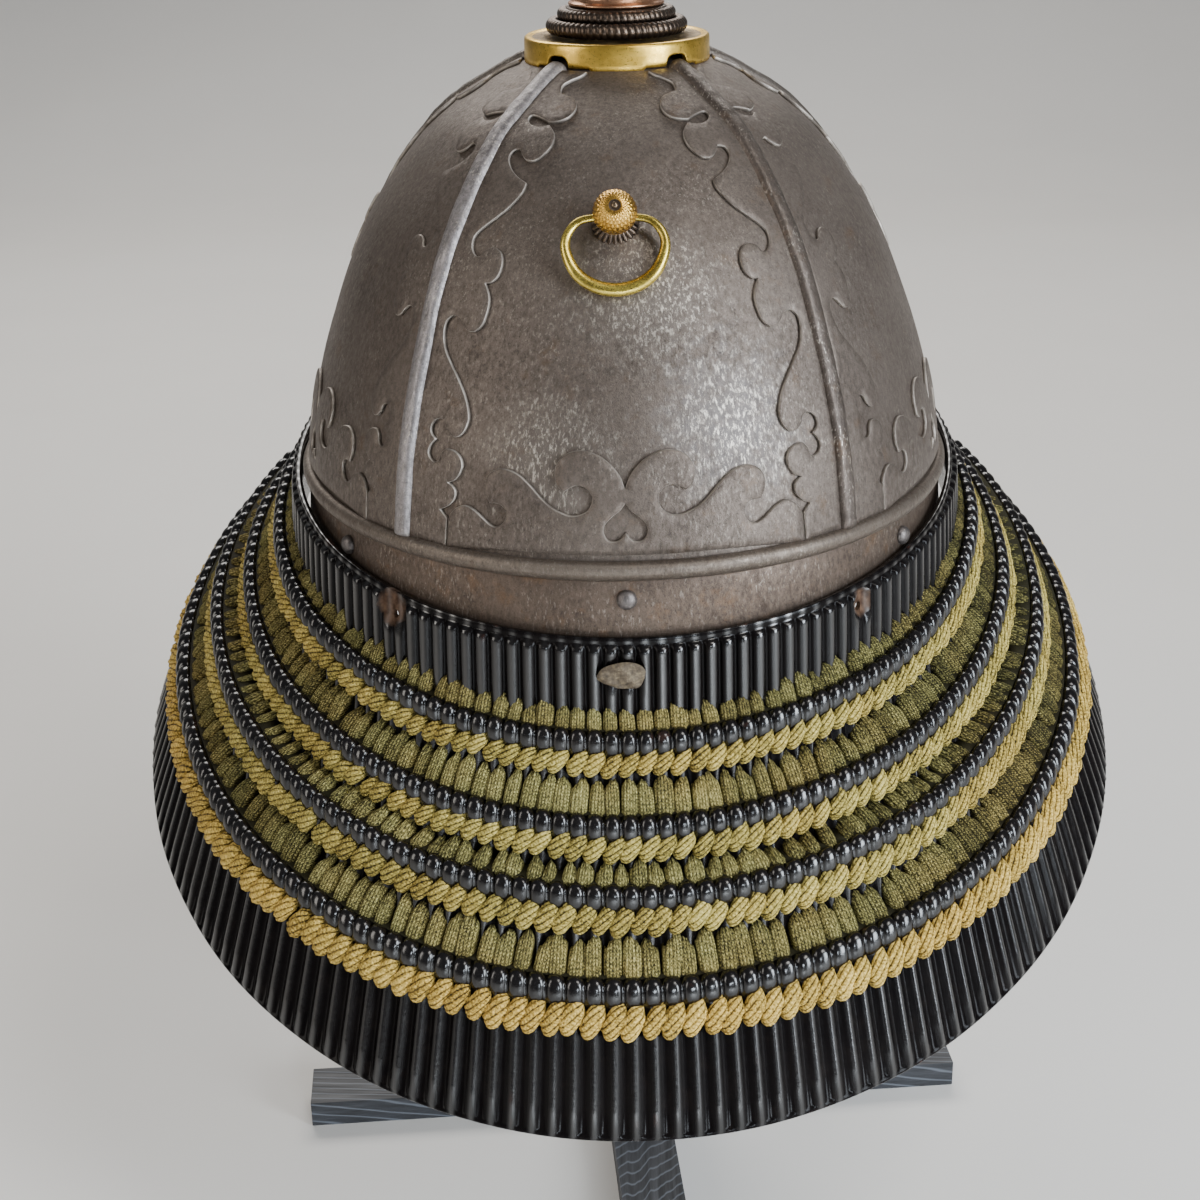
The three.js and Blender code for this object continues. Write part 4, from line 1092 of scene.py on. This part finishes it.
def lame_relief(lame, has_heads, angle, z):
    """How far the lacquered scales stand out from the lame's plain face, in millimetres."""
    down, up = lame["top"][1] - z, z - lame["low"][1]
    u = across_scale(lame, angle)
    vary = 1 + 0.10 * np.sin(np.round(angle / lame["pitch"]) * 12.9898)
    if has_heads:
        ridge = WAVE_HIGH * np.cos(math.pi * u) ** 2 * vary
        head = HEAD_PROUD * vary * np.maximum(np.clip(1 - np.abs(2 * u) ** 3.2, 0, 1) ** 0.6, 0.3)
        along = np.clip(down / HEAD_HEIGHT, 0, 1)
        swell = np.sqrt(np.clip(1 - (1 - np.clip(along / 0.30, 0, 1)) ** 2, 0, 1))
        close = np.sqrt(np.clip(1 - np.clip((along - 0.42) / 0.58, 0, 1) ** 2.4, 0, 1))
        knob = np.maximum(head * swell * close, ridge * (along > 0.7))
        relief = np.where(down < HEAD_HEIGHT, knob, ridge)
    else:
        ridge = RIDGE_HIGH * np.sqrt(np.clip(1 - np.abs(u / 0.45) ** 2.1, 0, 1)) * vary
        lip = 0.5 * np.clip(1 - np.abs(down - 1.2) / 1.4, 0, 1)
        start = np.clip((down - 2.4) / 1.7, 0, 1)
        relief = np.maximum(lip, ridge * np.sqrt(1 - (1 - start) ** 2))
    rim = 0.8 * np.exp(-((up - 0.7) / 0.7) ** 2)
    return relief * np.clip((up - 0.9) / 1.2, 0, 1) + np.where(up < 2.5, rim, 0)


def lame_wear(relief, angle, z):
    """The top lame's relief, gone where the lacquer is torn and low where the tie lies."""
    for spot_angle, spot_z, size in BARE_SPOTS:
        gone = np.hypot((angle - spot_angle) * TOP_LAME_MM, z - spot_z) / size
        relief = relief * np.clip(gone * 3 - 2.0, 0, 1)
    tie_angle, tie_z, half_width, half_height = TIE_SEAT
    tie = np.hypot((angle - tie_angle) * TOP_LAME_MM / half_width, (z - tie_z) / half_height)
    return relief * (0.35 + 0.65 * np.clip(tie * 4 - 3.4, 0, 1))


def build_lame(i):
    """A lame of lacquered scales: bare ridges on the top one, a row of heads on each other."""
    lame = LAMES[i]
    has_heads = i > 0
    top, low = lame["top"][1], lame["low"][1]
    scales = scale_count(lame)
    angle = (np.arange(scales * SCALE_COLUMNS + 1) / SCALE_COLUMNS - scales / 2) * lame["pitch"]
    a, rows = np.meshgrid(angle, lame_heights(lame, has_heads), indexing="ij")
    u = across_scale(lame, a)
    relief = lame_relief(lame, has_heads, a, rows)
    if has_heads:
        rounding = 2.6 * (1 - np.sqrt(np.clip(1 - (2 * u) ** 2, 0, 1)))
        drop = rounding * np.clip(1 - (top - rows) / 4.0, 0, 1)
        polish = np.exp(-((u - 0.04) / 0.11) ** 2)
        polish = np.where(rows > top - HEAD_HEIGHT, 0.55 + 0.2 * polish, polish)
    else:
        relief = lame_wear(relief, a, rows)
        drop = 0
        polish = np.exp(-((u - 0.04) / 0.17) ** 2)
    face = on_lame(lame, a, rows - drop, relief + 0.08 * np.sin(a * 0.31 + i))
    a, rows = np.meshgrid(angle, np.linspace(low, top - 0.3, 3), indexing="ij")
    if has_heads:
        rows[:, -1] -= 1.0
    points = np.concatenate([face, on_lame(lame, a, rows, -LAME_THICK)], axis=1)
    tones = np.concatenate([polish, np.full(rows.shape, 0.4)], axis=1).ravel()
    piece = add_piece(f"scales_{i + 1}", points, skin(points), lacquer if has_heads else torn_lacquer,
                      [f"lame_{i + 1}"], tones=tones)
    if not has_heads:
        pierce(piece)


def pierce(piece):
    """Lacing holes through the top lame."""
    holes = Bundle()
    for angle, z in LACING_HOLES:
        ends = [on_lame(LAMES[0], angle, z, offset) for offset in (-6.0, 6.0)]
        level, up = across(unit(ends[1] - ends[0]))
        holes.add([ellipse(end, level, up, 1.15, 1.35, circle(20)) for end in ends])
    tubes = make_mesh("lacing_holes", holes.points, holes.faces, smooth=False)
    cutter = add_object("lacing_holes", tubes)
    cut = piece.modifiers.new("holes", "BOOLEAN")
    cut.operation = "DIFFERENCE"
    cut.solver = "EXACT"
    cut.object = cutter
    bpy.context.view_layer.update()
    solid = bpy.data.meshes.new_from_object(
        piece.evaluated_get(bpy.context.evaluated_depsgraph_get()))
    piece.modifiers.clear()
    piece.data = solid
    bpy.data.objects.remove(cutter)


# Upright braids, on the lame of the same number: heights at the back of their tops and feet,
# and how thick they are at the top.
LACE_ROWS = [dict(top=-39.8, low=-51.5, thick=1.8), dict(top=-59.6, low=-73.5, thick=2.4),
             dict(top=-80.2, low=-90.5, thick=2.6), dict(top=-97.8, low=-114.5, thick=2.6)]
# Slanting strands, under the heads of the next lame. reach is how far each runs to either side,
# in scales, and half is half its width in mm.
ROPE_ROWS = [dict(top=-50.6, low=-59.4, reach=0.66, half=2.25),
             dict(top=-71.8, low=-80.8, reach=0.66, half=2.3),
             dict(top=-87.8, low=-98.2, reach=0.66, half=2.5),
             dict(top=-111.6, low=-123.2, reach=0.60, half=2.75)]
ROPE_PLIES = 8
PLY_SHEAR = -5.5                      # how far round the plies turn, to lie flatter than the strand
SHADE_STRIP_TONE = -4.0                     # darkest lace colour, for the strip of painted shade


def shade_strip(under, over, climb):
    """A dark strip behind the braids: painted shade that fills the gap between two lames."""
    turn = np.linspace(-over["ends"], over["ends"], 90)
    top = over["top"][1]
    high = top + climb * (1 - np.cos(np.radians(turn)))
    return np.stack([on_lame(under, turn, high - 0.6, 0.1),
                     on_lame(over, turn, top - 1.0, 0.2 - LAME_THICK),
                     on_lame(over, turn, top - 3.0, 0.2 - LAME_THICK),
                     on_lame(under, turn, high - 2.6, 0.1)], axis=1)


BRAID_COLUMNS = 3 * BRAID_PLIES + 1
BRAID_PLACES = np.concatenate([np.linspace(-1, 1, BRAID_COLUMNS), [0.6, 0.0, -0.6]])  # front, back
BRAID_FRONT = np.arange(len(BRAID_PLACES)) < BRAID_COLUMNS
BRAID_STEPS = (0, 0.025, 0.06, 0.11, 0.18, 0.28, 0.42, 0.6, 0.8, 1.0)    # shares of its length
STRAND_SECTION = np.concatenate([np.linspace(-0.35, math.pi + 0.35, 20), [4.2, 5.2]])
STRAND_SHARES = np.sin(np.linspace(-math.pi / 2, math.pi / 2, 13))       # -1 the lower left end


def braid(row, under, over, middle, gap, climb):
    """One flat plaited lace with a folded top and its own sway: its loops, UVs and tones."""
    places, pitch = BRAID_PLACES, over["pitch"]
    plaits = -np.cos(2 * math.pi * (places + 1) * BRAID_PLIES / 2)
    body = np.clip(1 - np.abs(places) ** 5, 0, 1) ** 0.5
    mm_per_degree = math.radians(1) * (under["low"][0] - 4)
    sideways = math.sin(math.radians(middle))
    crease = 0.12 + 0.16 * abs(sideways)
    # shade_side is painted shade: braids darker towards the sides of the row, the right side more.
    shade_side = 1.9 * max(sideways, 0) ** 1.3 + 0.6 * max(-sideways, 0)
    shift = climb * (1 - math.cos(math.radians(middle)))
    sway, lift, width, lean, tip, roll = rng.normal(size=6) * (0.05, 0.7, 0.06, 0.15, 0.28, 0.30)
    phase, shade = rng.uniform(0, (4, 1))
    half = pitch * (0.56 - 0.13 * sideways ** 2 + np.clip(width, -0.10, 0.08))
    top = row["top"] + np.clip(lift, -1.3, 1.3)
    roll = roll + 0.25 + 1.6 * sideways
    edge = (2.4 * np.abs(places - np.clip(tip, -0.5, 0.5)) ** 1.6
            + 0.3 * np.cos(3 * math.pi * places + phase))
    loops, uv, tones = [], [], []
    for step in BRAID_STEPS:
        depth = (top - row["low"]) * step
        spread = 0.70 + 0.30 * (1 - math.exp(-depth / 1.6))
        at = middle + (sway + lean * (1 - step)) * pitch + places * half * spread
        at = at + sideways * 0.34 * (depth - 4) / mm_per_degree
        deep = min(1.0, depth / (top - over["top"][1]))
        full = row["thick"] * (1 - deep) + max(row["thick"], gap) * deep
        full = full * (0.30 + 0.70 * (1 - math.exp(-depth / 0.7)))
        thick = (full + crease * plaits + roll * places * (1 - 0.8 * deep)) * body
        z = top + shift - depth - edge * math.exp(-depth / 2.0)
        loops.append(on_lame(under, np.clip(at, -under["ends"], under["ends"]), z,
                             np.maximum(np.where(BRAID_FRONT, thick, 0.1), 0.1)))
        uv += [((a + 1) * BRAID_PLIES / 2 * BRAID_PLY, depth * 1.05 + phase) for a in places]
        # Tones: a random step, less painted shade at the sides of the row, at the braid's edges (body)
        # and at its folded top.
        tones += (shade - 0.5 - shade_side + 0.4 * body - 0.4 * math.exp(-depth / 1.2)).tolist()
    return loops, uv, tones


def build_braids(i):
    """A row of braids, one to a scale, with a strip of painted shade behind it."""
    row, under, over = LACE_ROWS[i], LAMES[i], LAMES[i + 1]
    reach, rise = lame_line(under, over["top"][1])
    gap = over["top"][0] - LAME_THICK + 0.4 - reach           # from the lame to the next one's back
    climb = over["top"][2] * over["top"][0] - reach * rise    # how much more the next one rises
    strip = shade_strip(under, over, climb)
    braids = Bundle()
    braids.add(strip, [(0.0, 0.0)] * (strip.size // 3), [SHADE_STRIP_TONE] * (strip.size // 3))
    scales = scale_count(over)
    for k in range(scales):
        braids.add(*braid(row, under, over, (k + 0.5 - scales / 2) * over["pitch"], gap, climb))
    braids.build(f"braids_{i + 1}", lace, [f"lace_band_{i + 1}"])


def strand(row, lame, middle):
    """One slanting twisted strand under a scale head: its loops, UVs and tones."""
    pitch, ends, section = lame["pitch"], lame["ends"], STRAND_SECTION
    half_rise = (row["top"] - row["low"]) / 2 - row["half"] * 0.85
    mm_per_degree = math.radians(1) * (lame["top"][0] - 4)
    reach = row["reach"] * pitch
    sway, lift, fat, twist = rng.normal(size=4) * (0.06, 0.30, 0.12, 0.6)
    phase, shade = rng.uniform(0, (4, 1))
    loops, uv = [], []
    for share in STRAND_SHARES:
        at = middle + sway * pitch + reach * share
        z = (row["top"] + row["low"]) / 2 + lift + half_rise * math.sin(share * math.pi / 2)
        out = 0.2 + 1.5 * (1 - abs(share) ** 3) - 0.4 * share
        taper = math.sqrt(max(0.05, 1 - abs(share) ** (3.2 if share > 0 else 4.5)))
        slope = math.atan2(half_rise * math.pi / 2 * math.cos(share * math.pi / 2) + 0.5,
                           reach * mm_per_degree)
        turn = section * ROPE_PLIES + twist + share * PLY_SHEAR
        plies = 1 - 0.095 * np.cos(turn)
        side = np.cos(section) * ((row["half"] + fat) * taper) * plies
        deep = np.sin(section) * ((row["half"] * 0.78 + fat) * taper) * plies
        at = np.clip(at - side * math.sin(slope) / mm_per_degree, -ends, ends)
        loops.append(on_lame(lame, at, z + side * math.cos(slope), out + deep))
        along = share * math.hypot(reach * mm_per_degree, half_rise) * 1.1 + phase
        uv += [(t / (2 * math.pi) * BRAID_PLY, along) for t in turn]
    return loops, uv, [shade - 0.5] * len(uv)


def build_strands(i):
    """A row of slanting strands that lie like the lay of a rope under the scale heads."""
    row, lame = ROPE_ROWS[i], LAMES[i + 1]
    scales = scale_count(lame)
    strands = Bundle()
    for k in range(-1, scales + 1):
        strands.add(*strand(row, lame, (k + 0.5 - scales / 2) * lame["pitch"]))
    strands.build(f"strands_{i + 1}", gold_rope if i == 3 else rope,
                  [f"rope_row_{i + 1}"])


def build_tie():
    """The end of a leather lace, pressed flat over a slot at the back of the top lame."""
    low, high = frame_box("leather_tie")
    half = (high - low) / 2
    p, t = np.meshgrid(np.linspace(0.02, math.pi - 0.02, 26), circle(40), indexing="ij")
    flat = np.sin(p) ** 0.8
    x, y, z = -np.cos(p), flat * np.cos(t), flat * np.sin(t)
    fold = 0.30 * np.sin(6 * x + 3 * z) + 0.22 * np.sin(11 * z - 4 * x)
    points = np.stack([x * half[0] * 1.02 + 0.25 * np.sin(5 * z),
                       y * 1.25 + np.where(y < 0, -fold * flat, 0),
                       z * half[2] * (1 + 0.25 * x)], -1) + (low + high) / 2
    add_piece("tie_leather", points, flat_ended(points), leather, ["leather_tie"])


def build_peak():
    """The plain brow plate, hidden in front: a shallow curve out and down from the band."""
    first, last, seat, thick = 128.0, 232.0, 106.2, 1.8
    steps = np.linspace(0, 1, 10)
    loops = []
    for angle in np.linspace(first, last, 140):
        reach = 4 + 40 * math.sin((angle - first) / (last - first) * math.pi) ** 0.8
        z = -6 - 20 * reach / 44 * (0.75 * steps + 0.25 * steps ** 2)
        width = seat + reach * np.append(steps, 1.012)
        upper = oval(angle, width, np.append(z, z[-1] - thick / 2))
        lower = oval(angle, width[:-1], z - thick)
        loops.append(np.vstack([upper, lower[::-1]]))
    points = np.array(loops)
    add_piece("brow_peak", points, skin(points), band_iron, ["peak"])


# ---- stand
def dress_stand():
    """The stand keeps its solids; their edges are eased and they get grain along each bar."""
    looks = {"stand_bar_across": wood_look("stained_wood_x", True),
             "stand_bar_along": wood_look("stained_wood_y", False)}
    looks["stand_post"] = looks["stand_pad"] = wood_look("stained_wood_post", False)
    for node, look in looks.items():
        piece = frame["nodes"][node]
        piece.data.materials.clear()
        piece.data.materials.append(look.material)
        if node != "stand_pad":
            ease = piece.modifiers.new("eased_edges", "BEVEL")
            ease.width = 0.9 * MM
            ease.segments = 2
            ease.limit_method = "ANGLE"
            ease.angle_limit = math.radians(40)


# ---- build
build_bowl()
for rib, at in RIB_ANGLES.items():
    build_rib(rib, at)
for plate, span in FRAME_SPANS.items():
    build_frame(plate, span)
build_bead_and_band()
build_rivets()
build_crown_plate()
build_rope_ring("twisted_ring_low", "rope_ring_lower", 64)
build_rope_ring("twisted_ring_high", "rope_ring_upper", 56)
build_collar()
build_rosette()
build_stud()
build_ring()
for number in range(len(LAMES)):
    build_lame(number)
for number in range(len(LACE_ROWS)):
    build_braids(number)
    build_strands(number)
build_tie()
build_peak()
dress_stand()


# ---- stage, camera and light, in metres
LAMP_TARGET = (0, 0, 0.28)
CAMERA_PLACE = (-0.00225, -0.65524, 0.47539)
CAMERA_FORWARD = (-0.00929, 0.92387, -0.38259)
CAMERA_ROLL = -1.18                   # degrees
CAMERA_LENS = 61.11                   # mm, on a sensor 36 mm wide


def floor_look():
    look = Look("pale_floor")
    pale = (0.72, 0.70, 0.67)
    cloud = look.noise(160, detail=4)
    look.set(Base_Color=look.ramp(cloud, (0.3, scaled(pale, 0.97)), (0.7, pale)), Roughness=0.7)
    return look


def build_stage():
    """A pale floor that curves up into a backdrop."""
    flat_from, flat_to, bend, half_width, below = -4, 1.6, 1.2, 5, 0.0002
    turn = np.linspace(0.1, math.pi / 2, 14)
    depth = np.concatenate([np.linspace(flat_from, flat_to, 12), flat_to + bend * np.sin(turn),
                            [flat_to + bend] * 4])
    rise = np.concatenate([np.zeros(12), bend * (1 - np.cos(turn)), [1.8, 2.4, 3.0, 3.6]])
    loops = np.array([[(x, y, z - below) for y, z in zip(depth, rise)]
                      for x in (-half_width, 0, half_width)])
    faces = [face for face in skin_faces(3, len(depth), capped=False) if abs(face[0] - face[1]) == 1]
    floor = add_object("floor", make_mesh("floor", loops / MM, faces))
    floor.data.materials.append(floor_look().material)


def add_light(name, place, target, size, power, colour):
    """A rectangular lamp that faces its target."""
    data = bpy.data.lights.new(name, "AREA")
    data.shape = "RECTANGLE"
    data.size, data.size_y = size
    data.energy = power
    data.color = colour
    light = add_object(name, data)
    light.location = place
    light.rotation_euler = (Vector(target) - Vector(place)).to_track_quat("-Z", "Y").to_euler()


def build_camera():
    """Behind the helmet and above it, as a person at the table would look down on it."""
    data = bpy.data.cameras.new("camera")
    data.sensor_width = 36
    data.lens = CAMERA_LENS
    forward = Vector(CAMERA_FORWARD).normalized()
    level = forward.cross(Vector((0, 0, 1))).normalized()
    upright = level.cross(forward)
    roll = math.radians(CAMERA_ROLL)
    right = level * math.cos(roll) + upright * math.sin(roll)
    up = upright * math.cos(roll) - level * math.sin(roll)
    turn = Matrix((right, up, -forward)).transposed().to_4x4()
    camera = add_object("camera", data)
    camera.matrix_world = Matrix.Translation(CAMERA_PLACE) @ turn
    bpy.context.scene.camera = camera


def build_world():
    world = bpy.data.worlds.new("room")
    world.use_nodes = True
    background = world.node_tree.nodes["Background"]
    background.inputs["Color"].default_value = (0.92, 0.95, 1.0, 1)
    background.inputs["Strength"].default_value = 0.16
    bpy.context.scene.world = world


build_stage()
build_camera()
build_world()
add_light("lamp", (0.75, -0.75, 1.7), LAMP_TARGET, (0.6, 0.6), 11, (1.0, 0.97, 0.92))
add_light("window", (1.15, -0.95, 0.62), LAMP_TARGET, (0.5, 1.0), 38, (0.84, 0.92, 1.0))
add_light("far_window", (-1.3, -0.7, 0.8), (0, 0, 0.25), (0.5, 1.2), 10, (1.0, 0.95, 0.88))
add_light("back_wall", (-0.2, 1.5, 1.6), (0, 0, 0.3), (1.8, 0.8), 36, (1.0, 0.97, 0.93))
add_light("table_light", (0.22, -1.0, 0.30), (0.22, -1.0, 0.0), (0.20, 0.5), 15, (0.82, 0.91, 1.0))
